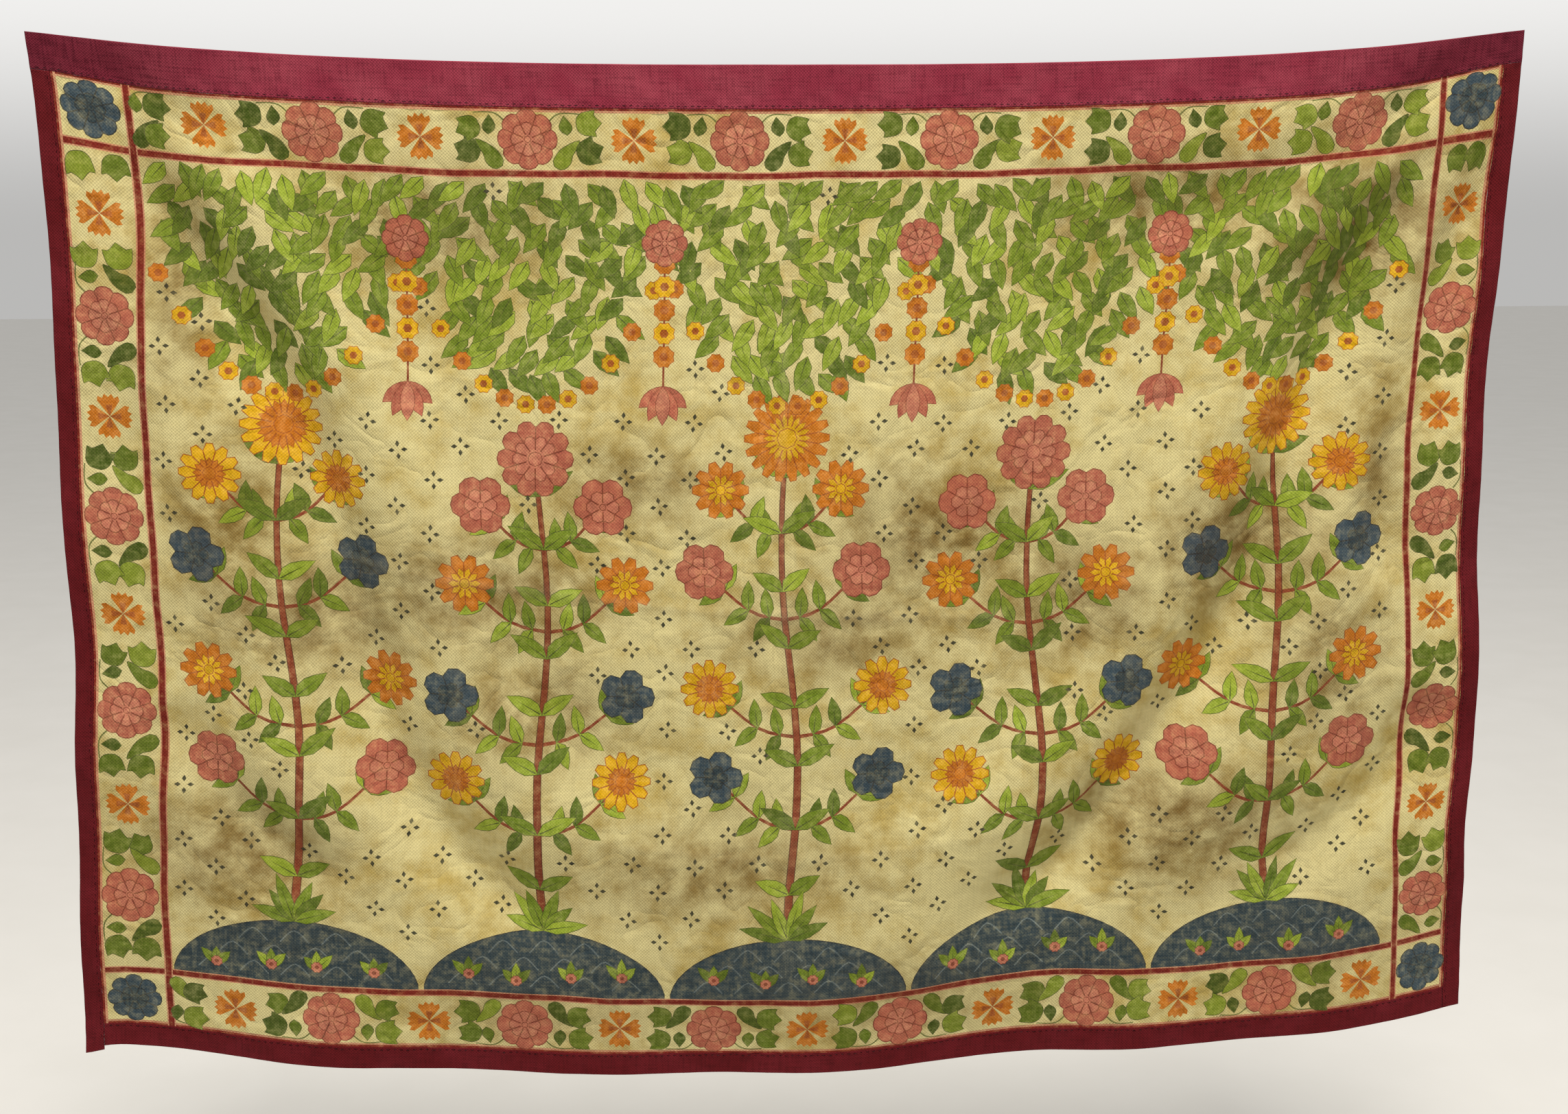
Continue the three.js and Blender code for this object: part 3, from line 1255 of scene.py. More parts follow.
@dataclass(frozen=True)
class Field:
    """The generic design inside the border: leaf garlands, flowering plants on mounds, and small stars."""

    cloth: HungCloth
    border: FloralBorder
    side_room: float = 4
    end_room: float = 4.5
    edge_clear: float = 14
    swags: int = 5
    swag_depth: float = 250
    swag_ends: float = 92
    swag_power: float = 2.2
    leaf_row: float = 21
    leaf_step: float = 22
    leaf_stray: float = 4
    leaf_lean: Pair = (12, 48)
    leaf_length: Pair = (36, 43)
    leaf_width: float = 18
    leaf_clear: float = 20
    hem_flower: float = 10.5
    hem_step: float = 24
    string: FlowerString = FlowerString()
    string_above: float = 30
    mound_height: float = 84
    mound_gap: float = 1
    plant_sink: float = 6
    plant_heights: Sequence[float] = (585, 560, 585)
    plant_sways: Sequence[float] = (9, -8, 7, 8, -9)
    # Where each pair of branches leaves the stem, how far it reaches, and how far it rises
    tiers: Sequence[Triple] = ((0.2, 96, 62), (0.4, 102, 58), (0.6, 92, 56), (0.8, 70, 50))
    star_step: Pair = (74, 32)
    star_stray: Pair = (5, 4)
    star_turn: float = 10
    star_clear: float = 7

    @property
    def side(self) -> float:
        """Half of the field's width."""
        return self.cloth.painted_side - self.border.left.band - self.side_room

    @property
    def top(self) -> float:
        """Where the field starts, down the cloth."""
        return self.cloth.top_strip + self.border.top.band + self.end_room

    @property
    def bottom(self) -> float:
        """Where the field ends, down the cloth."""
        return self.cloth.painted_bottom - self.border.bottom.band - self.end_room

    @property
    def bay(self) -> float:
        """The width of one garland, and of the ground that one plant has."""
        return 2 * self.side / self.swags

    def middles(self) -> list[float]:
        """The middle of each bay."""
        return [-self.side + (i + 0.5) * self.bay for i in range(self.swags)]

    def depth(self, across: float) -> float:
        """How deep the garland hangs."""
        share = ((across + self.side) % self.bay) / self.bay * 2 - 1
        return self.swag_ends + (self.swag_depth - self.swag_ends) * (1 - abs(share) ** self.swag_power)

    def paint(self, canvas: Canvas) -> None:
        """Paints the garlands, mounds and plants, and the stars on the ground that stays bare.

        Args:
            canvas: What they are painted on.
        """
        first = len(canvas.outlines)
        for across in self.middles():
            Mound(across, self.bottom, self.bay / 2 - self.mound_gap, self.mound_height).paint(canvas)
        for plant in self.plants():
            plant.paint(canvas)
        self.paint_garlands(canvas)
        self.paint_stars(canvas, canvas.outlines[first:])

    def plants(self) -> list[FloweringPlant]:
        """The row of plants, alike in pairs about the middle one.

        Returns:
            The plants, from left to right.
        """
        rose = Rosette(33, *ROSY, 6, 0.2, steps=4)
        sun = Rosette(34, *SUNNY, 12, 0.26, 0.5, 3, 0.2)
        blue = Rosette(32, *BLUISH, 5, 0.3, 0.45, 4)
        ember = Rosette(33, *FIERY, 10, 0.3, 0.55, 3, 0.16)
        tops = (
            Rosette(46, *SUNNY, 16, 0.24, 0.6, 3, 0.22),
            Rosette(43, *ROSY, 10, 0.18, 0.6, 4, 0.18),
            Rosette(50, *FIERY, 18, 0.26, 0.55, 3, 0.22),
        )
        flowers = ((rose, ember, blue, sun), (sun, blue, ember, rose), (blue, sun, rose, ember))
        made = []
        for i, across in enumerate(self.middles()):
            kind = min(i, self.swags - 1 - i)
            branches = tuple(Branch(*tier, flower) for tier, flower in zip(self.tiers, flowers[kind]))
            foot = (across, self.bottom - self.mound_height + self.plant_sink)
            height, sway = self.plant_heights[kind], self.plant_sways[i]
            made.append(FloweringPlant(foot, height, tops[kind], branches, sway))
        return made

    def paint_garlands(self, canvas: Canvas) -> None:
        """Paints the hanging leaves row by row, the topmost last, and the flowers along their hems.

        Args:
            canvas: What they are painted on.
        """
        hand, stray = canvas.hand, self.leaf_stray
        count = round(2 * self.side / self.leaf_step)
        for row in reversed(range(round(self.swag_depth / self.leaf_row))):
            for i in range(count):
                across = -self.side + (i + self.stagger(row)) * self.leaf_step + canvas.stray(stray)
                down = self.top + stray + row * self.leaf_row + canvas.stray(stray)
                low = self.top + self.depth(across)
                if abs(across) > self.side - self.edge_clear or down + self.leaf_clear > low:
                    continue
                lean = hand.choice((-1, 1)) * hand.uniform(*self.leaf_lean)
                length = hand.uniform(*self.leaf_length)
                canvas.leaf((across, down), DOWN + lean, length, self.leaf_width, lean / 8)
        for i, across in enumerate(np.arange(-self.side + self.edge_clear, self.side - 8, self.hem_step)):
            marigold(self.hem_flower, i).paint(canvas, (across, self.top + self.depth(across) + 2))
        for i in range(1, self.swags):
            at = (-self.side + i * self.bay, self.top + self.swag_ends - self.string_above)
            self.string.paint(canvas, at)

    def stagger(self, row: int) -> float:
        """How many steps a row starts in from the side, so that rows take turns."""
        return 0.75 if row % 2 else 0.25

    def paint_stars(self, canvas: Canvas, taken: Iterable[Outline]) -> None:
        """Paints four-dash stars in staggered rows wherever the ground is bare.

        Args:
            canvas: What they are painted on.
            taken: The outlines that they keep clear of.
        """
        step, drop = self.star_step
        stray, stray_down = self.star_stray
        spots = []
        for row in range(int((self.bottom - self.top) / drop)):
            for i in range(int(2 * self.side / step) + 1):
                across = -self.side + (i + self.stagger(row)) * step + canvas.stray(stray)
                spots.append((across, self.top + (row + 0.5) * drop + canvas.stray(stray_down)))
        spots = np.array(spots)
        down = spots[:, 1]
        free = np.abs(spots[:, 0]) < self.side - self.edge_clear
        free &= (down > self.top + self.edge_clear) & (down < self.bottom - self.edge_clear)
        for outline in taken:
            free &= ~holds(grown(outline, self.star_clear), spots)
        for spot in spots[free]:
            turn = canvas.stray(self.star_turn)
            for i in range(4):
                canvas.fill(placed(DASH, spot, turn + 90 * i), Pigment.INK)


# Finishes


Value = float | tuple[float, ...] | Socket


def add_node(
    tree: NodeTree, kind: str, inputs: dict[str | int, Value], out: str | int = 0, **settings: object
) -> Socket | None:
    """Adds a node with its settings and links.

    Args:
        tree: The node tree.
        kind: The node's type name after ShaderNode.
        inputs: For each input, a value to set or a socket to link from.
        out: The output that is wanted.
        settings: Properties to set on the node.

    Returns:
        That output, or nothing from a node that ends the tree.
    """
    node = tree.nodes.new(f"ShaderNode{kind}")
    for name, value in settings.items():
        setattr(node, name, value)
    for name, value in inputs.items():
        if isinstance(value, Socket):
            tree.links.new(value, node.inputs[name])
        else:
            node.inputs[name].default_value = value
    return node.outputs[out] if node.outputs else None


def opaque(hex_colour: str) -> tuple[float, float, float, float]:
    """A hex colour as a socket's four shares."""
    return (*linear(hex_colour), 1.0)


def ramp(value: Socket, low: float, high: float, start: float = 0.0, end: float = 1.0) -> dict[str, Value]:
    """The inputs that turn a value's range from low to high into one from start to end."""
    return {"Value": value, "From Min": low, "From Max": high, "To Min": start, "To Max": end}


def bare(block: Material | World) -> NodeTree:
    """Empties the node tree of a material or a world.

    Args:
        block: The material or world.

    Returns:
        Its tree.
    """
    block.use_nodes = True
    block.node_tree.nodes.clear()
    return block.node_tree


@dataclass(frozen=True)
class Cotton:
    """Plain-woven cotton: matt, with a soft bloom of loose fibre and a fine over-and-under weave.

    Its real threads are about 0.5 mm apart, too fine to show at arm's length, so the weave is drawn
    coarser. Its thread spacing and relief are in millimetres, and its slubs and streaks in threads.
    """

    name: str
    thread: float
    relief: float
    sheen: float
    roughness: float = 0.9
    ior: float = 1.5
    specular: float = 0.1
    sheen_roughness: float = 0.5
    slub: float = 9
    stray: float = 1.2
    streak: Pair = (1.4, 20)

    def weave(self, tree: NodeTree, flat: Socket) -> Socket:
        """The weave's height, from its threads' spacing.

        Args:
            tree: The material's node tree.
            flat: The flat places, in millimetres.

        Returns:
            A height about 0, up to 1 on a thread's crown.
        """
        add = partial(add_node, tree)
        scale = 1 / (self.slub * self.thread)
        slub = add("TexNoise", {"Vector": flat, "Scale": scale, "Detail": 1.0}, "Color")
        bent = add("VectorMath", {0: slub, 1: (self.stray * self.thread,) * 3}, operation="MULTIPLY")
        moved = add("VectorMath", {0: flat, 1: bent}, operation="ADD")
        turned = add("VectorMath", {0: moved, 1: (math.pi / self.thread,) * 3}, operation="MULTIPLY")
        waves = add("VectorMath", {0: turned}, operation="SINE")
        across = add("SeparateXYZ", {0: waves}, "X")
        return add("Math", {0: across, 1: across.node.outputs["Y"]}, operation="MULTIPLY")

    def streaks(self, tree: NodeTree, flat: Socket) -> Socket:
        """Thicker and thinner threads, as thin streaks along both ways of the weave.

        Args:
            tree: The material's node tree.
            flat: The flat places, in millimetres.

        Returns:
            A value about 1.
        """
        add = partial(add_node, tree)
        thin, long = (1 / (threads * self.thread) for threads in self.streak)
        ways = []
        for scale in ((thin, long, 1.0), (long, thin, 1.0)):
            drawn = add("VectorMath", {0: flat, 1: scale}, operation="MULTIPLY")
            ways.append(add("TexNoise", {"Vector": drawn, "Scale": 1.0, "Detail": 2.0}))
        return add("Math", dict(enumerate(ways)), operation="ADD")

    def finish(self, tree: NodeTree, colour: Socket, height: Socket) -> None:
        """Ends the tree in a matt cloth shader.

        Args:
            tree: The material's node tree.
            colour: The surface's colour.
            height: Its relief, in millimetres.
        """
        relief = add_node(tree, "Bump", {"Strength": 1.0, "Distance": MM, "Height": height})
        look = {
            "Base Color": colour,
            "Roughness": self.roughness,
            "IOR": self.ior,
            "Specular IOR Level": self.specular,
            "Sheen Weight": self.sheen,
            "Sheen Roughness": self.sheen_roughness,
            "Normal": relief,
        }
        add_node(tree, "OutputMaterial", {"Surface": add_node(tree, "BsdfPrincipled", look)})


@dataclass(frozen=True)
class PaintedCotton(Cotton):
    """Old unbleached cotton painted with matt water-based colours.

    The eye sees a mottled cream and ochre ground, brown water stains with soft edges, painted shade in the
    same brown along the troughs of the lower folds, thin brushed colour that lets the threads through, and
    paler rubbed lines along old creases. The back is bare cotton with a faint ghost of the paint. The sizes
    of its clouds, mottles, brush marks and crumples are in millimetres.
    """

    cream: str = "#d0c48c"
    ochre: str = "#b09952"
    stain_and_shade: str = "#6e5222"
    rubbed: str = "#d3c8a0"
    soil_and_shade: str = "#543f1b"
    soiling_and_shade: float = 0.3
    cloud: float = 150
    mottle: float = 34
    brush: float = 11
    crumple: float = 62
    crumple_relief: float = 9.0

    def material(self) -> Material:
        """Builds the material.

        Returns:
            The material, which reads the cloth's own Flat, Paint, StainAndShade and Wear values.
        """
        material = bpy.data.materials.new(self.name)
        tree = bare(material)
        add = partial(add_node, tree)
        flat = add("Attribute", {}, "Vector", attribute_name="Flat")
        paint = add("Attribute", {}, "Color", attribute_name="Paint")
        stain_and_shade = add("Attribute", {}, "Fac", attribute_name="StainAndShade")
        wear = add("Attribute", {}, "Fac", attribute_name="Wear")
        broad = add("TexNoise", {"Vector": flat, "Scale": 1 / self.cloud, "Detail": 3.0})
        mottle = add("TexNoise", {"Vector": flat, "Scale": 1 / self.mottle, "Detail": 4.0, "Roughness": 0.6})
        brush = add("TexNoise", {"Vector": flat, "Scale": 1 / self.brush, "Detail": 3.0, "Roughness": 0.65})
        grain = self.streaks(tree, flat)
        weave = self.weave(tree, flat)

        # The ground is cream, with ochre in cloudy patches
        both = add("Math", {0: broad, 1: mottle}, operation="ADD")
        cloud = add("MapRange", ramp(both, 0.85, 1.4), interpolation_type="SMOOTHSTEP")
        ground = add("MixRGB", {"Fac": cloud, "Color1": opaque(self.cream), "Color2": opaque(self.ochre)})

        # Stains and the painted fold shade have the placed strength, broken up into tide marks
        tide = add("MapRange", ramp(mottle, 0.3, 0.68, 0.3, 1.7))
        soak_and_shade = add("Math", {0: stain_and_shade, 1: tide}, operation="MULTIPLY", use_clamp=True)
        stained_and_shaded = add("MixRGB", {"Fac": soak_and_shade, "Color1": ground, "Color2": opaque(self.stain_and_shade)})

        # Paint is brushed on unevenly, and lets the ground through where the brush was dry
        loaded = add("MapRange", ramp(brush, 0.25, 0.7, 0.72, 1.25))
        tinted = add("VectorMath", {0: paint, 1: loaded}, operation="MULTIPLY")
        thin = add("MapRange", ramp(grain, 0.7, 1.3, 1.05, 0.95))
        dry = add("MapRange", ramp(brush, 0.48, 0.68, 1.03, 0.85))
        laid = add("Math", {0: paint.node.outputs["Alpha"], 1: dry}, operation="MULTIPLY")
        cover = add("Math", {0: laid, 1: thin}, operation="MULTIPLY", use_clamp=True)
        painted = add("MixRGB", {"Fac": cover, "Color1": stained_and_shaded, "Color2": tinted})

        # Stains and the painted fold shade darken the paint too, and old creases are rubbed pale
        dirt_and_shade = add("Math", {0: soak_and_shade, 1: self.soiling_and_shade}, operation="MULTIPLY")
        soiled_and_shaded = add("MixRGB", {"Fac": dirt_and_shade, "Color1": painted, "Color2": opaque(self.soil_and_shade)})
        worn = add("MixRGB", {"Fac": wear, "Color1": soiled_and_shaded, "Color2": opaque(self.rubbed)})

        # Threads catch the light on their crowns, and thick ones look paler
        tone = add("MapRange", ramp(weave, -1.0, 1.0, 0.97, 1.03))
        toned = add("VectorMath", {0: worn, 1: tone}, operation="MULTIPLY")
        fleck = add("MapRange", ramp(grain, 0.7, 1.3, 0.93, 1.07))
        flecked = add("VectorMath", {0: toned, 1: fleck}, operation="MULTIPLY")

        # Soft crumples all over, and the threads' own relief
        folds = {"Vector": flat, "Scale": 1 / self.crumple, "Detail": 2.0, "Distortion": 0.6}
        middle = add("Math", {0: add("TexNoise", folds), 1: 0.5}, operation="SUBTRACT")
        ridge = add("Math", {0: middle}, operation="ABSOLUTE")
        soft = add("Math", {0: ridge, 1: self.crumple_relief}, operation="MULTIPLY")
        woven = add("Math", {0: weave, 1: self.relief, 2: soft}, operation="MULTIPLY_ADD")
        self.finish(tree, flecked, woven)
        return material


@dataclass(frozen=True)
class CrimsonCotton(Cotton):
    """Dyed crimson cotton, faded unevenly.

    The eye sees a deep wine red with lighter rubbed patches, darker streaks along its threads, and a plain
    weave. A strip may be painted darker toward its ends: painted shade where its corners turn away from the
    light. The patches' size and the ends' reach are in millimetres.
    """

    dye: str = "#8a2d3f"
    faded: str = "#9e4351"
    deep: str = "#561322"
    patch: float = 75
    end_painted_shade: float = 0.0
    end_reach: Pair = (560.0, 830.0)

    def material(self) -> Material:
        """Builds the material.

        Returns:
            The material, which reads the strip's own Flat values.
        """
        material = bpy.data.materials.new(self.name)
        tree = bare(material)
        add = partial(add_node, tree)
        flat = add("Attribute", {}, "Vector", attribute_name="Flat")
        wash = add("TexNoise", {"Vector": flat, "Scale": 1 / self.patch, "Detail": 4.0, "Roughness": 0.6})
        grain = self.streaks(tree, flat)
        weave = self.weave(tree, flat)
        fade = add("MapRange", ramp(wash, 0.42, 0.72))
        dyed = add("MixRGB", {"Fac": fade, "Color1": opaque(self.dye), "Color2": opaque(self.faded)})
        shade = add("MapRange", ramp(grain, 0.95, 1.3, end=0.5))
        # Painted shade: the strip darkens toward both ends, where its corners turn away from the light
        across = add("Math", {0: add("SeparateXYZ", {0: flat}, "X")}, operation="ABSOLUTE")
        ends = add("MapRange", ramp(across, *self.end_reach, end=self.end_painted_shade))
        # The thread streaks and the painted end shade both darken toward the deep dye
        deepest = add("Math", {0: shade, 1: ends}, operation="ADD", use_clamp=True)
        darker = add("MixRGB", {"Fac": deepest, "Color1": dyed, "Color2": opaque(self.deep)})
        # Painted highlight and shade on the weave: thread crowns lighter, the hollows between them darker
        tone = add("MapRange", ramp(weave, -1.0, 1.0, 0.86, 1.12))
        toned = add("VectorMath", {0: darker, 1: tone}, operation="MULTIPLY")
        height = add("Math", {0: weave, 1: self.relief}, operation="MULTIPLY")
        self.finish(tree, toned, height)
        return material


@dataclass(frozen=True)
class SewingThread(Cotton):
    """Twisted sewing cotton: a fine round thread whose twist shows as slanting light and dark."""

    dye: str = "#6f1c31"
    lit: str = "#87304a"

    def material(self) -> Material:
        """Builds the material.

        Returns:
            The material, which reads the stitches' own Flat values.
        """
        material = bpy.data.materials.new(self.name)
        tree = bare(material)
        flat = add_node(tree, "Attribute", {}, "Vector", attribute_name="Flat")
        weave = self.weave(tree, flat)
        twist = add_node(tree, "MapRange", ramp(weave, -0.4, 0.8))
        twisted = {"Fac": twist, "Color1": opaque(self.dye), "Color2": opaque(self.lit)}
        height = add_node(tree, "Math", {0: weave, 1: self.relief}, operation="MULTIPLY")
        self.finish(tree, add_node(tree, "MixRGB", twisted), height)
        return material


@dataclass(frozen=True)
class StudioPaper:
    """Pale matt paper for the floor, with a faint fibre."""

    name: str = "Studio paper"
    colour: str = "#d2d0cc"
    fibre: str = "#cac8c3"
    roughness: float = 0.95
    mottles_a_metre: float = 6.0

    def material(self) -> Material:
        """Builds the floor's material.

        Returns:
            The material.
        """
        material = bpy.data.materials.new(self.name)
        add = partial(add_node, bare(material))
        place = add("TexCoord", {}, "Object")
        noise = add("TexNoise", {"Vector": place, "Scale": self.mottles_a_metre, "Detail": 4.0})
        colour = add("MixRGB", {"Fac": noise, "Color1": opaque(self.colour), "Color2": opaque(self.fibre)})
        shader = add("BsdfPrincipled", {"Base Color": colour, "Roughness": self.roughness})
        add("OutputMaterial", {"Surface": shader})
        return material


# Meshes


@dataclass
class ClothMesh:
    """Points, triangles and values of a mesh in the making, joined from several sheets."""

    points: np.ndarray
    normals: np.ndarray
    flat: np.ndarray
    triangles: np.ndarray

    def make(self, name: str, material: Material) -> Object:
        """Makes the object, smooth shaded on the cloth's own slope.

        Args:
            name: The object's name.
            material: Its finish.

        Returns:
            The object, in metres, with its flat places in Flat.
        """
        mesh = bpy.data.meshes.new(name)
        mesh.from_pydata((self.points * MM).tolist(), [], self.triangles.tolist())
        mesh.polygons.foreach_set("use_smooth", np.ones(len(self.triangles), bool))
        mesh.attributes.new("Flat", "FLOAT_VECTOR", "POINT").data.foreach_set("vector", self.flat.ravel())
        mesh.materials.append(material)
        mesh.update()
        mesh.normals_split_custom_set_from_vertices(self.normals.tolist())
        made = bpy.data.objects.new(name, mesh)
        bpy.context.scene.collection.objects.link(made)
        return made


def stations(low: float, high: float, close: np.ndarray, count: int) -> np.ndarray:
    """Places along one axis, evenly spread but for those close to both ends.

    Args:
        low: Where it starts.
        high: Where it ends.
        close: How far in from each end the close places are. The even ones start at the last.
        count: Even steps between.

    Returns:
        The places, rising.
    """
    ends = close[:-1]
    even = np.linspace(low + close[-1], high - close[-1], count + 1)
    return np.concatenate([low + ends, even, (high - ends)[::-1]])


def triangulated(places: np.ndarray, edges: list, shapes: list) -> tuple[np.ndarray, np.ndarray]:
    """Joins places into triangles along edges and outlines of place numbers, adding places at crossings."""
    cut = delaunay_2d_cdt([Vector(p) for p in places.tolist()], edges, shapes, 0, SAME_PLACE, True)
    return np.array([tuple(p) for p in cut[0]]), np.array(cut[2])


def sides_of(triangles: np.ndarray) -> np.ndarray:
    """The three sides of every triangle, as two point numbers a row."""
    return np.concatenate([triangles[:, [0, 1]], triangles[:, [1, 2]], triangles[:, [2, 0]]])


def rim(triangles: np.ndarray) -> np.ndarray:
    """The open edges of a sheet, in its triangles' order.

    Args:
        triangles: Point numbers, three a row.

    Returns:
        Two point numbers a row.
    """
    edges = sides_of(triangles).tolist()
    known = {tuple(edge) for edge in edges}
    return np.array([edge for edge in edges if (edge[1], edge[0]) not in known])


# Brown water stains; the three near (-640, 920), (-80, 920) and (470, 890) are partly painted fold shade
STAINS_AND_FOLD_SHADE = (
    Patch(-640, 520, 70, 90, 0.5),
    Patch(-560, 620, 130, 70, 0.55),
    Patch(-360, 590, 150, 60, 0.55),
    Patch(-180, 470, 110, 50, 0.42),
    Patch(-300, 730, 90, 60, 0.5),
    Patch(60, 640, 150, 60, 0.45),
    Patch(180, 530, 130, 80, 0.56),
    Patch(330, 610, 110, 70, 0.55),
    Patch(540, 560, 120, 80, 0.55),
    Patch(640, 700, 80, 100, 0.4),
    Patch(-410, 180, 130, 60, 0.5),
    Patch(-690, 260, 50, 120, 0.4),
    Patch(420, 160, 150, 60, 0.55),
    Patch(650, 200, 120, 90, 0.65),
    Patch(700, 470, 50, 110, 0.4),
    Patch(-80, 920, 170, 60, 0.45),
    Patch(470, 890, 130, 80, 0.55),
    Patch(-640, 920, 120, 80, 0.5),
    Patch(120, 1090, 170, 60, 0.35),
    Patch(-300, 1100, 140, 50, 0.3),
    Patch(640, 1080, 90, 60, 0.35),
)


@dataclass(frozen=True)
class PaintedCloth:
    """The painted panel, one closed thin sheet whose faces follow every brush line.

    A fold is tight where its height over the square of its width passes tight, and then the back has rows
    of places out to fold_reach widths beside it. The back reads its pattern back_pattern further on.
    """

    cloth: HungCloth
    canvas: Canvas
    finish: PaintedCotton
    name: str = "painted_cotton"
    grid: float = 15
    edge_grid: float = 5
    edge_reach: float = 22
    gap: float = 0.015
    edge_clear: float = 2
    crease_rows: Sequence[float] = (-3.5, 0, 3.5)
    crease_steps: int = 60
    tight: float = 0.014
    fold_reach: float = 1.2
    fold_rows: int = 9
    fold_steps: int = 70
    ghost: float = 0.2
    ghost_samples: int = 6
    soaked: float = 0.6
    stains_and_shade: Sequence[Patch] = STAINS_AND_FOLD_SHADE
    wear: float = 0.1
    back_wear: float = 0.5
    back_pattern: float = 400
    chart_gap: float = 20
    chart_edge: float = 0.01

    def rectangle(self) -> Triple:
        """The panel's half width, top and bottom."""
        c, gap = self.cloth, self.gap
        return c.painted_side - gap, c.top_strip + gap, c.painted_bottom - gap

    def grid_places(self) -> np.ndarray:
        """Evenly spread flat places, closer together beside the seams.

        Returns:
            The places, those on the panel's edge among them.
        """
        side, top, bottom = self.rectangle()
        close = np.linspace(0, self.edge_reach, round(self.edge_reach / self.edge_grid) + 1)
        columns, rows = (
            stations(low, high, close, round((high - low - 2 * self.edge_reach) / self.grid))
            for low, high in ((-side, side), (top, bottom))
        )
        across, down = np.meshgrid(columns, rows)
        return pairs(across.ravel(), down.ravel())

    def inside(self, places: np.ndarray, margin: float) -> np.ndarray:
        """Leaves out the places near the panel's edge and past it.

        Args:
            places: Flat places.
            margin: How far in from the edge a place has to be.

        Returns:
            Those that are further in.
        """
        side, top, bottom = self.rectangle()
        across, down = np.abs(places[:, 0]), places[:, 1]
        return places[(across < side - margin) & (down > top + margin) & (down < bottom - margin)]

    def crease_places(self) -> np.ndarray:
        """Rows of places along each storage crease, so that the cloth follows it.

        Returns:
            The places, clear of the panel's edge.
        """
        offsets = np.array(self.crease_rows)
        rows = [row for crease in self.cloth.creases for row in crease.rows(offsets, self.crease_steps)]
        return self.inside(np.concatenate(rows), self.edge_clear)

    def fold_places(self) -> np.ndarray:
        """Close rows of places along the tight folds, so that the back stays behind the front.

        Returns:
            The places, clear of the panel's edge.
        """
        offsets = np.linspace(-self.fold_reach, self.fold_reach, self.fold_rows)
        rows = []
        for fold in self.cloth.folds:
            if max(np.abs(fold.height)) / min(fold.width) ** 2 > self.tight:
                rows += fold.rows(offsets * min(fold.width), self.fold_steps)
        return self.inside(np.concatenate(rows), self.edge_clear)

    def front(self) -> tuple[np.ndarray, np.ndarray, np.ndarray]:
        """Cuts the panel along every painted outline, and again along only those stretches that show.

        Returns:
            Flat places, triangles, and each triangle's paint.
        """
        side, top, bottom = self.rectangle()
        even = np.concatenate([self.grid_places(), self.crease_places()])
        drawn = np.clip(np.concatenate(self.canvas.outlines), (-side, top), (side, bottom))
        ends = np.cumsum([len(outline) for outline in self.canvas.outlines])
        shapes = [list(range(end - len(outline), end)) for end, outline in zip(ends, self.canvas.outlines)]
        flat, faces = triangulated(np.concatenate([drawn, even]), [], shapes)
        owner = self.owner_at(flat[faces].mean(axis=1))

        sides = np.sort(sides_of(faces), axis=1)
        rank = np.lexsort((sides[:, 1], sides[:, 0]))
        sides, beside = sides[rank], np.tile(owner, 3)[rank]
        shared = (sides[1:] == sides[:-1]).all(axis=1)
        shown = sides[1:][shared & (beside[1:] != beside[:-1])]
        used, edges = np.unique(shown, return_inverse=True)
        flat, faces = triangulated(np.concatenate([flat[used], even]), edges.reshape(-1, 2).tolist(), [])
        return flat, faces, self.paint_at(flat[faces].mean(axis=1))

    def owner_at(self, places: np.ndarray) -> np.ndarray:
        """The topmost painted shape at each place.

        Args:
            places: Flat places.

        Returns:
            Its number on the canvas, or minus one on bare cotton.
        """
        rank = np.argsort(places[:, 0])
        ranked = places[rank, 0]
        owner = np.full(len(places), -1)
        for i, outline in enumerate(self.canvas.outlines):
            low, high = outline.min(axis=0), outline.max(axis=0)
            first, last = np.searchsorted(ranked, (low[0], high[0]))
            near = rank[first:last]
            near = near[(places[near, 1] > low[1]) & (places[near, 1] < high[1])]
            owner[near[holds(outline, places[near])]] = i
        return owner

    def paint_at(self, places: np.ndarray) -> np.ndarray:
        """The paint at each place, as colour and cover, all zero on bare cotton."""
        return np.array([*self.canvas.colours, (0, 0, 0, 0)])[self.owner_at(places)]

    def back(self, loop: np.ndarray) -> tuple[np.ndarray, np.ndarray]:
        """Cuts the plainer back, with the same edge as the front.

        Args:
            loop: The front's edge places, in order.

        Returns:
            Flat places, the edge's first and in the same order, and triangles.
        """
        inner = self.inside(self.grid_places(), self.edge_clear / 2)
        every = np.concatenate([loop, inner, self.crease_places(), self.fold_places()])
        return triangulated(every, [], [list(range(len(loop)))])

    def soaked_paint(self, places: np.ndarray) -> np.ndarray:
        """The faint ghost of the paint that has soaked through and spread.

        Args:
            places: Flat places on the back.

        Returns:
            The colour and cover at each place.
        """
        around = np.concatenate([[(0, 0)], ring(self.grid / 2, self.ghost_samples)])
        found = np.stack([self.paint_at(places + offset) for offset in around])
        cover = found[..., 3:].mean(axis=0)
        colour = (found[..., :3] * found[..., 3:]).mean(axis=0) / np.maximum(cover, TINY)
        return np.concatenate([colour, cover * self.ghost], axis=1)

    def build(self) -> Object:
        """Makes the panel's object.

        Returns:
            The object, with its Paint, StainAndShade and Wear values and a flat map.
        """
        flat, faces, paint = self.front()
        edge = rim(faces)
        after = {a: b for a, b in edge.tolist()}
        loop = [edge[0, 0]]
        while after[loop[-1]] != loop[0]:
            loop.append(after[loop[-1]])
        back_flat, back_faces = self.back(flat[loop])
        known = {tuple(np.round(p, PLACE_DIGITS)): i for i, p in enumerate(back_flat.tolist())}
        back_loop = [known[tuple(np.round(p, PLACE_DIGITS))] for p in flat[loop].tolist()]
        ghost = self.soaked_paint(back_flat)[back_faces]

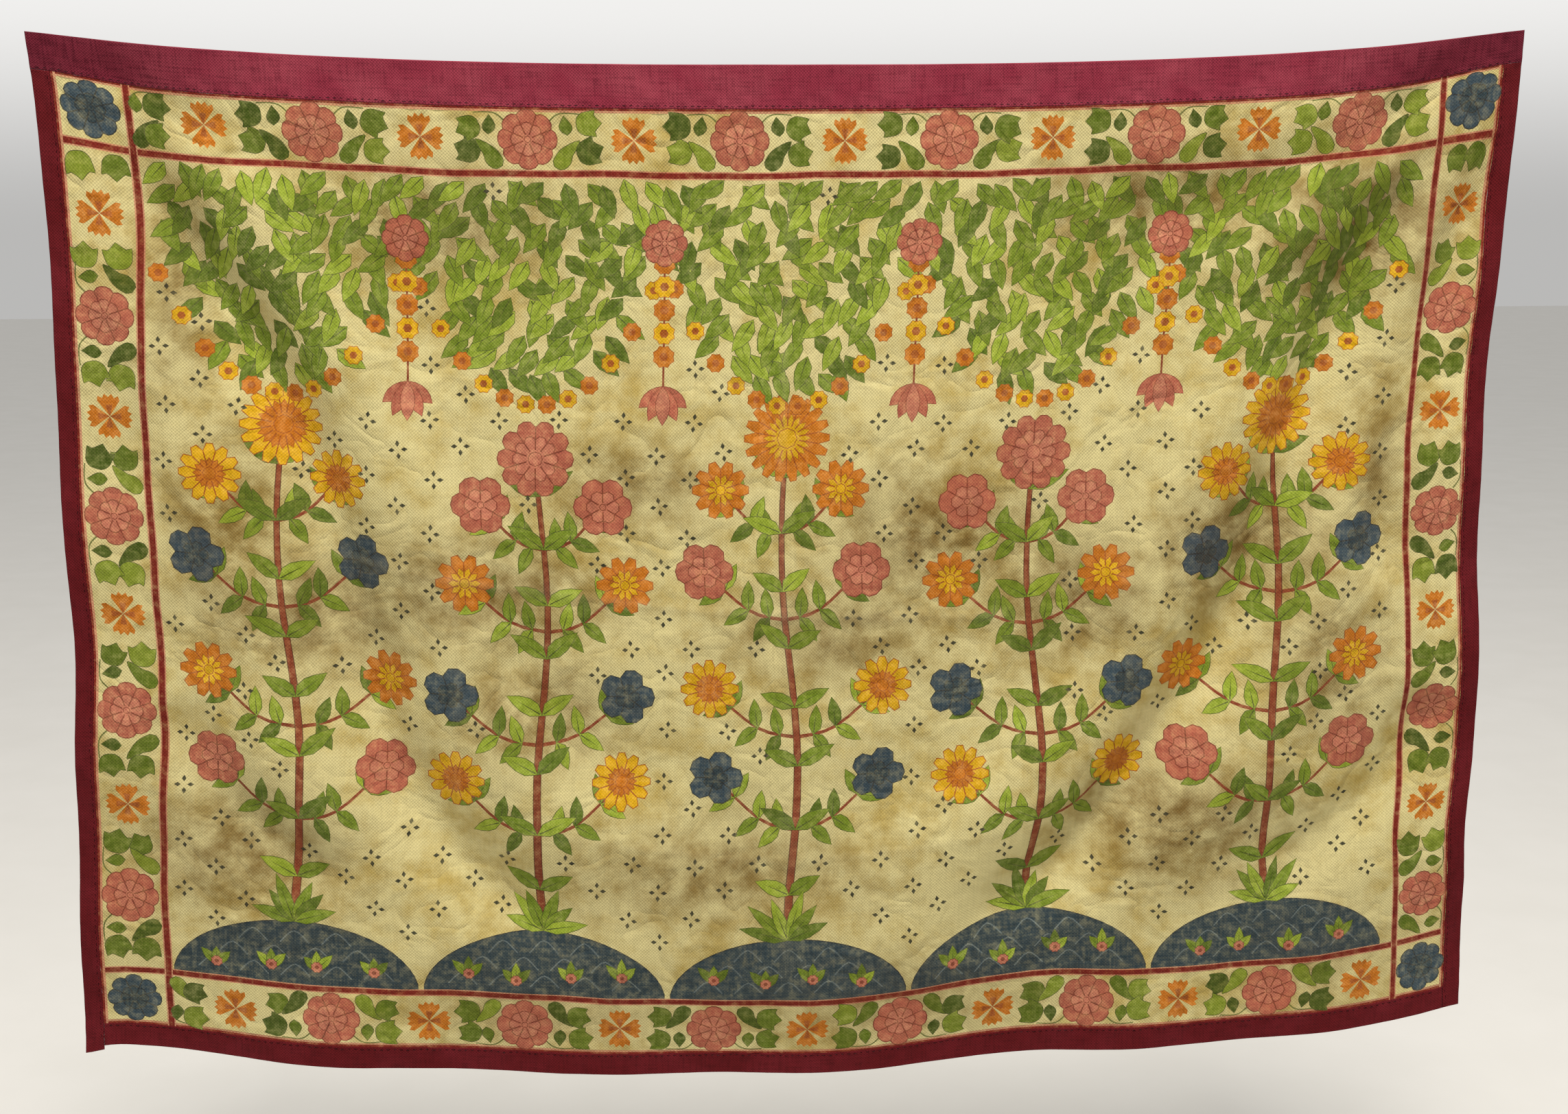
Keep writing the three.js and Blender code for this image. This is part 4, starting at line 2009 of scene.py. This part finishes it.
        shift = len(flat)
        turn = [0, 2, 1]
        walls = []
        for i, here in enumerate(loop):
            j = (i + 1) % len(loop)
            a, b, c, d = here, loop[j], shift + back_loop[j], shift + back_loop[i]
            walls += [(a, b, c), (a, c, d)]
        triangles = np.concatenate([faces[:, turn], back_faces + shift, np.array(walls)])
        every = np.concatenate([flat, back_flat])
        side = np.concatenate([np.ones(len(flat)), -np.ones(len(back_flat))])
        facing = self.cloth.facing(every[:, 0], every[:, 1]) * side[:, None]
        points = self.cloth.hang(every[:, 0], every[:, 1]) + facing * self.cloth.cloth_thickness / 2
        pattern = np.column_stack([every, np.where(side > 0, 0, self.back_pattern)])
        made = ClothMesh(points, facing, pattern, triangles).make(self.name, self.finish.material())
        even_paint = np.repeat(paint[:, None], 3, axis=1)
        unpainted = np.zeros((len(walls), 3, 4))
        self.dress(made.data, every, side, np.concatenate([even_paint, ghost, unpainted]))
        return made

    def dress(self, mesh: Mesh, flat: np.ndarray, side: np.ndarray, paint: np.ndarray) -> None:
        """Gives the mesh its paint, its stains and painted fold shade, its wear and its flat map.

        Args:
            mesh: The panel's mesh.
            flat: Its points' flat places.
            side: One on the front, minus one on the back.
            paint: The paint at each triangle's three corners.
        """
        across, down = flat[:, 0], flat[:, 1]
        # Stains and the painted shade in the lower folds' troughs, in one value
        stain_and_shade = np.max([stain_and_shade.at(across, down) for stain_and_shade in self.stains_and_shade], axis=0)
        wear = sum(np.abs(crease.forward(across, down)) for crease in self.cloth.creases) * self.wear
        stain_and_shade = np.where(side > 0, stain_and_shade, self.soaked * stain_and_shade)
        wear = np.where(side > 0, wear, self.back_wear * wear)
        mesh.attributes.new("StainAndShade", "FLOAT", "POINT").data.foreach_set("value", stain_and_shade)
        mesh.attributes.new("Wear", "FLOAT", "POINT").data.foreach_set("value", wear)
        mesh.attributes.new("Paint", "FLOAT_COLOR", "CORNER").data.foreach_set("color", paint.ravel())

        # The front and the back lie one above the other on the flat map
        half, top, bottom = self.rectangle()
        edge = self.chart_edge
        scale = (1 - 2 * edge) / (2 * (bottom - top) + self.chart_gap)
        u = (across + half) * scale + edge
        v = (down - top) * scale + np.where(side > 0, edge, edge + (bottom - top + self.chart_gap) * scale)
        owner = np.empty(len(mesh.loops), np.int32)
        mesh.loops.foreach_get("vertex_index", owner)
        chart = pairs(u, v)[owner]
        mesh.uv_layers.new(name=BAKE_MAP).data.foreach_set("uv", chart.ravel())


class Strip(Enum):
    """The four crimson strips, by the solid that each stands for."""

    TOP = "top_strip"
    LEFT = "left_strip"
    RIGHT = "right_strip"
    BOTTOM = "bottom_strip"


@dataclass(frozen=True)
class BorderStrip:
    """A crimson strip folded double: a flat tube of cloth with soft round edges."""

    cloth: HungCloth
    strip: Strip
    material: Material
    step: float = 6
    edge_round: float = 1.3
    edge_steps: int = 4
    gap: float = 0.015
    back_pattern: float = 300

    def span(self) -> tuple[float, float, float, float]:
        """Where the strip lies.

        Returns:
            Where it starts and ends across, and where it starts and ends down.
        """
        c, g = self.cloth, self.gap
        return {
            Strip.TOP: (-c.half, c.half, 0, c.top_strip - g),
            Strip.LEFT: (-c.half, -c.painted_side - g, c.top_strip + g, c.height + c.left_tail),
            Strip.RIGHT: (c.painted_side + g, c.half, c.top_strip + g, c.height),
            Strip.BOTTOM: (-c.painted_side + g, c.painted_side - g, c.painted_bottom + g, c.height),
        }[self.strip]

    def build(self) -> Object:
        """Makes the strip's object.

        Returns:
            The object, a closed sheet.
        """
        left, right, top, bottom = self.span()
        close = self.edge_round * (1 - np.cos(np.linspace(0, math.pi / 2, self.edge_steps + 1)))
        close[-1] = self.edge_round
        columns, rows = (
            stations(low, high, close, round((high - low) / self.step))
            for low, high in ((left, right), (top, bottom))
        )
        across, down = (grid.ravel() for grid in np.meshgrid(columns, rows))
        inset = np.minimum(np.minimum(across - left, right - across), np.minimum(down - top, bottom - down))
        share = np.clip(inset / self.edge_round, 0, 1)
        half = self.cloth.strip_thickness / 2 * np.sqrt(1 - (1 - share) ** 2)
        facing = self.cloth.facing(across, down)
        middle = self.cloth.hang(across, down)
        count = len(columns)
        inner = inset > TINY
        front = np.arange(len(across))
        behind = np.where(inner, len(across) + np.cumsum(inner) - 1, front)
        a = front.reshape(len(rows), count)[:-1, :-1].ravel()
        b, c, d = a + count, a + count + 1, a + 1
        face = np.concatenate([np.stack([a, b, c], 1), np.stack([a, c, d], 1)])
        triangles = np.concatenate([face, behind[face[:, ::-1]]])
        points = np.concatenate([middle + facing * half[:, None], (middle - facing * half[:, None])[inner]])
        lean = self.lean(columns, rows, share)
        normals = np.concatenate([facing * share[:, None] + lean, (-facing * share[:, None] + lean)[inner]])
        flat = np.column_stack([across, down, np.zeros(len(across))])
        flat = np.concatenate([flat, (flat + (0, 0, self.back_pattern))[inner]])
        sheet = ClothMesh(points, unit(normals), flat, triangles)
        return sheet.make(f"{self.strip.value}_cloth", self.material)

    def lean(self, columns: np.ndarray, rows: np.ndarray, share: np.ndarray) -> np.ndarray:
        """How far the round edges turn the surface outward.

        Args:
            columns: Places across.
            rows: Places down.
            share: Each point's way in over the round edge, from 0 to 1.

        Returns:
            A vector for each point, zero on the flat of the strip.
        """
        x = np.where(columns - columns[0] < columns[-1] - columns, -1, 1)
        z = np.where(rows - rows[0] < rows[-1] - rows, 1, -1)
        near_x = np.minimum(columns - columns[0], columns[-1] - columns)
        near_z = np.minimum(rows - rows[0], rows[-1] - rows)
        sideways = near_x[None, :] <= near_z[:, None]
        out_x = np.where(sideways, x[None, :], 0).ravel()
        out_z = np.where(sideways, 0, z[:, None]).ravel()
        out = np.stack([out_x, np.zeros(len(share)), out_z], axis=-1)
        return out * (1 - share)[:, None]


@dataclass(frozen=True)
class Stitching:
    """Running stitches of dark thread along the strips' inner edges."""

    cloth: HungCloth
    material: Material
    inset: float = 3.2
    pitch: float = 7.5
    length: float = 4.6
    thread: float = 0.5
    sides: int = 6
    rings: int = 6
    sunk: float = 0.18
    thinnest: float = 0.02
    seed: int = 11
    end_room: float = 6
    hem_room: float = 4
    uneven: Pair = (0.85, 1.1)
    stray: float = 0.5
    slant: float = 0.35

    def seams(self) -> list[tuple[Place, Place]]:
        """The rows of stitches.

        Returns:
            The start and end of each, as flat places.
        """
        c, i, room = self.cloth, self.inset, self.end_room
        side, top, bottom = c.painted_side + i, c.top_strip - i, c.painted_bottom + i
        start, end = c.top_strip + room, c.height - self.hem_room
        return [
            ((-c.half + room, top), (c.half - room, top)),
            ((-side, start), (-side, end)),
            ((side, start), (side, end)),
            ((-c.painted_side + room, bottom), (c.painted_side - room, bottom)),
        ]

    def build(self) -> Object:
        """Makes all the stitches as one object.

        Returns:
            The object.
        """
        hand = random.Random(self.seed)
        share = np.linspace(0, 1, self.rings)
        turn = np.linspace(0, math.tau, self.sides, endpoint=False)
        lines = []
        for start, end in self.seams():
            start, end = np.array(start), np.array(end)
            way = (end - start) / np.linalg.norm(end - start)
            side = np.array([-way[1], way[0]])
            for i in range(int(np.linalg.norm(end - start) / self.pitch)):
                length = self.length * hand.uniform(*self.uneven)
                at = start + way * i * self.pitch + side * hand.uniform(-self.stray, self.stray)
                slant = side * hand.uniform(-self.slant, self.slant)
                lines.append(at + share[:, None] * (way * length + slant))
        count = len(lines)
        places = np.concatenate(lines)
        facing = self.cloth.facing(places[:, 0], places[:, 1])
        lift = self.cloth.strip_thickness / 2 + self.thread * (0.5 * np.sin(math.pi * share) - self.sunk)
        centre = self.cloth.hang(places[:, 0], places[:, 1]) + facing * np.tile(lift, count)[:, None]
        way = unit(np.gradient(centre.reshape(-1, self.rings, 3), axis=1).reshape(-1, 3))
        across = np.cross(way, facing)
        up = np.cross(across, way)
        taper = np.tile(np.sqrt(np.clip(1 - (2 * share - 1) ** 4, self.thinnest, 1)), count)
        radius = (self.thread / 2 * taper)[:, None, None]
        out = across[:, None] * np.cos(turn)[None, :, None] + up[:, None] * np.sin(turn)[None, :, None]
        points = (centre[:, None] + out * radius).reshape(-1, 3)
        twist = np.tile(np.arange(self.sides) * self.thread / 2, len(places))
        flat = np.column_stack([np.repeat(places, self.sides, axis=0), twist])
        stitches = ClothMesh(points, out.reshape(-1, 3), flat, self.tubes(count))
        return stitches.make("seam_stitches", self.material)

    def tubes(self, count: int) -> np.ndarray:
        """Joins rings of points into closed tubes.

        Args:
            count: How many tubes there are.

        Returns:
            Their triangles.
        """
        n = self.sides
        faces = []
        for k in range(self.rings - 1):
            for i in range(n):
                j = (i + 1) % n
                a, b, c, d = k * n + i, k * n + j, (k + 1) * n + j, (k + 1) * n + i
                faces += [(a, b, c), (a, c, d)]
        last = (self.rings - 1) * n
        for i in range(1, n - 1):
            faces += [(0, i + 1, i), (last, last + i, last + i + 1)]
        one = np.array(faces)
        return (one[None] + np.arange(count)[:, None, None] * self.rings * n).reshape(-1, 3)


# Studio


@dataclass(frozen=True)
class Studio:
    """The pale floor, the soft lights and the camera at the photograph's angle."""

    floor_below: float = 0.42
    floor_size: float = 60.0
    camera_at: Triple = (-0.125, -2.013, -0.180)
    camera_way: Triple = (0.0549, 0.9822, -0.1794)
    camera_up: Triple = (0.0162, 0.1788, 0.9838)
    lens: float = 40.96
    sensor: float = 36
    sees: float = 200
    key_at: Triple = (0.1, -2.5, 5.2)
    key_aim: Triple = (0, 0, -0.55)
    key_size: float = 1.8
    key_power: float = 490
    key_tint: str = "#fffaf2"
    world: str = "#f4f3f1"
    front_strength: float = 0.16
    rear_strength: float = 0.98
    bright_way: Triple = (0.0, 0.75, 0.65)
    bright_span: Pair = (-0.3, 0.72)
    horizon_strength: float = 0.54
    horizon_span: Pair = (0.0, 0.13)

    def build(self, lowest: float) -> None:
        """Makes the floor, lights, world and camera.

        Args:
            lowest: The object's lowest point.
        """
        self.build_floor(lowest - self.floor_below)
        self.build_light()
        self.build_world()
        self.build_camera()

    def build_floor(self, level: float) -> None:
        """Lays the floor.

        Args:
            level: Its height.
        """
        half = self.floor_size / 2
        mesh = bpy.data.meshes.new("studio_floor")
        square = [(-half, -half, level), (half, -half, level), (half, half, level), (-half, half, level)]
        mesh.from_pydata(square, [], [(0, 1, 2, 3)])
        mesh.materials.append(StudioPaper().material())
        floor = bpy.data.objects.new("studio_floor", mesh)
        bpy.context.scene.collection.objects.link(floor)
        floor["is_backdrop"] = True

    def build_light(self) -> None:
        """Hangs a soft square light that looks at the middle of the cloth."""
        light = bpy.data.lights.new("Key", "AREA")
        light.size = self.key_size
        light.energy = self.key_power
        light.color = linear(self.key_tint)
        hung = bpy.data.objects.new("Key", light)
        hung.location = self.key_at
        aim = Vector(self.key_aim) - Vector(self.key_at)
        hung.rotation_euler = aim.to_track_quat("-Z", "Y").to_euler()
        bpy.context.scene.collection.objects.link(hung)

    def build_world(self) -> None:
        """Sets a pale surround that meets the floor softly, and lights more from above and behind."""
        world = bpy.data.worlds.new("Studio")
        add = partial(add_node, bare(world))
        place = add("TexCoord", {}, "Generated")
        way = add("VectorMath", {0: place, 1: self.bright_way}, "Value", operation="DOT_PRODUCT")
        height = add("SeparateXYZ", {0: place}, "Z")
        surrounds = []
        for value, span, low in (
            (way, self.bright_span, self.front_strength),
            (height, self.horizon_span, self.horizon_strength),
        ):
            rise = ramp(value, *span, low, self.rear_strength)
            strength = add("MapRange", rise, interpolation_type="SMOOTHSTEP")
            surrounds.append(add("Background", {"Color": opaque(self.world), "Strength": strength}))
        lighting, seen = surrounds
        ray = add("LightPath", {}, "Is Camera Ray")
        add("OutputWorld", {"Surface": add("MixShader", {0: ray, 1: lighting, 2: seen})})
        bpy.context.scene.world = world
        bpy.context.scene.view_settings.view_transform = "Standard"

    def build_camera(self) -> None:
        """Sets the camera at the photograph's place and angle."""
        camera = bpy.data.cameras.new("Camera")
        camera.lens = self.lens
        camera.sensor_width = self.sensor
        camera.clip_end = self.sees
        seat = bpy.data.objects.new("Camera", camera)
        way, up = Vector(self.camera_way).normalized(), Vector(self.camera_up)
        right = way.cross(up).normalized()
        up = right.cross(way)
        turn = Matrix((right, up, -way)).transposed().to_4x4()
        seat.matrix_world = Matrix.Translation(self.camera_at) @ turn
        bpy.context.scene.collection.objects.link(seat)
        bpy.context.scene.camera = seat


def hang_piece(piece: Object, nodes: Sequence[str] = ()) -> None:
    """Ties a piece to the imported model.

    Args:
        piece: The object.
        nodes: The solids that it stands for.
    """
    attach(piece, "root")
    if nodes:
        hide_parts(*nodes)
    log.info("%s: %d triangles", piece.name, len(piece.data.polygons))


def main() -> None:
    """Paints the cloth, sews its strips on, and lights it."""
    logging.basicConfig(level=logging.INFO, format="%(message)s")
    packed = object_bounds()
    cloth = HungCloth()
    canvas = Canvas()
    border = FloralBorder(cloth)
    Field(cloth, border).paint(canvas)
    border.paint(canvas)
    log.info("painted shapes: %d", len(canvas.outlines))

    painted = PaintedCotton("Painted cotton", thread=1.9, relief=0.2, sheen=0.04)
    panel = PaintedCloth(cloth, canvas, painted).build()
    hang_piece(panel, ["painted_cloth"])
    faded = CrimsonCotton("Crimson cotton, faded", thread=1.7, relief=0.25, sheen=0.06, end_painted_shade=0.8)
    dark = CrimsonCotton(
        "Crimson cotton, dark",
        thread=1.7,
        relief=0.25,
        sheen=0.02,
        dye="#5e1419",
        faded="#6b1d24",
        deep="#430d10",
    )
    top_cotton, side_cotton = faded.material(), dark.material()
    for kind in Strip:
        strip = BorderStrip(cloth, kind, top_cotton if kind is Strip.TOP else side_cotton)
        piece = strip.build()
        hang_piece(piece, [kind.value])
    thread = SewingThread("Crimson sewing cotton", thread=0.5, relief=0.1, sheen=0.1)
    stitches = Stitching(cloth, thread.material()).build()
    hang_piece(stitches)

    Studio().build(packed[0].z)


if __name__ == "__main__":
    main()
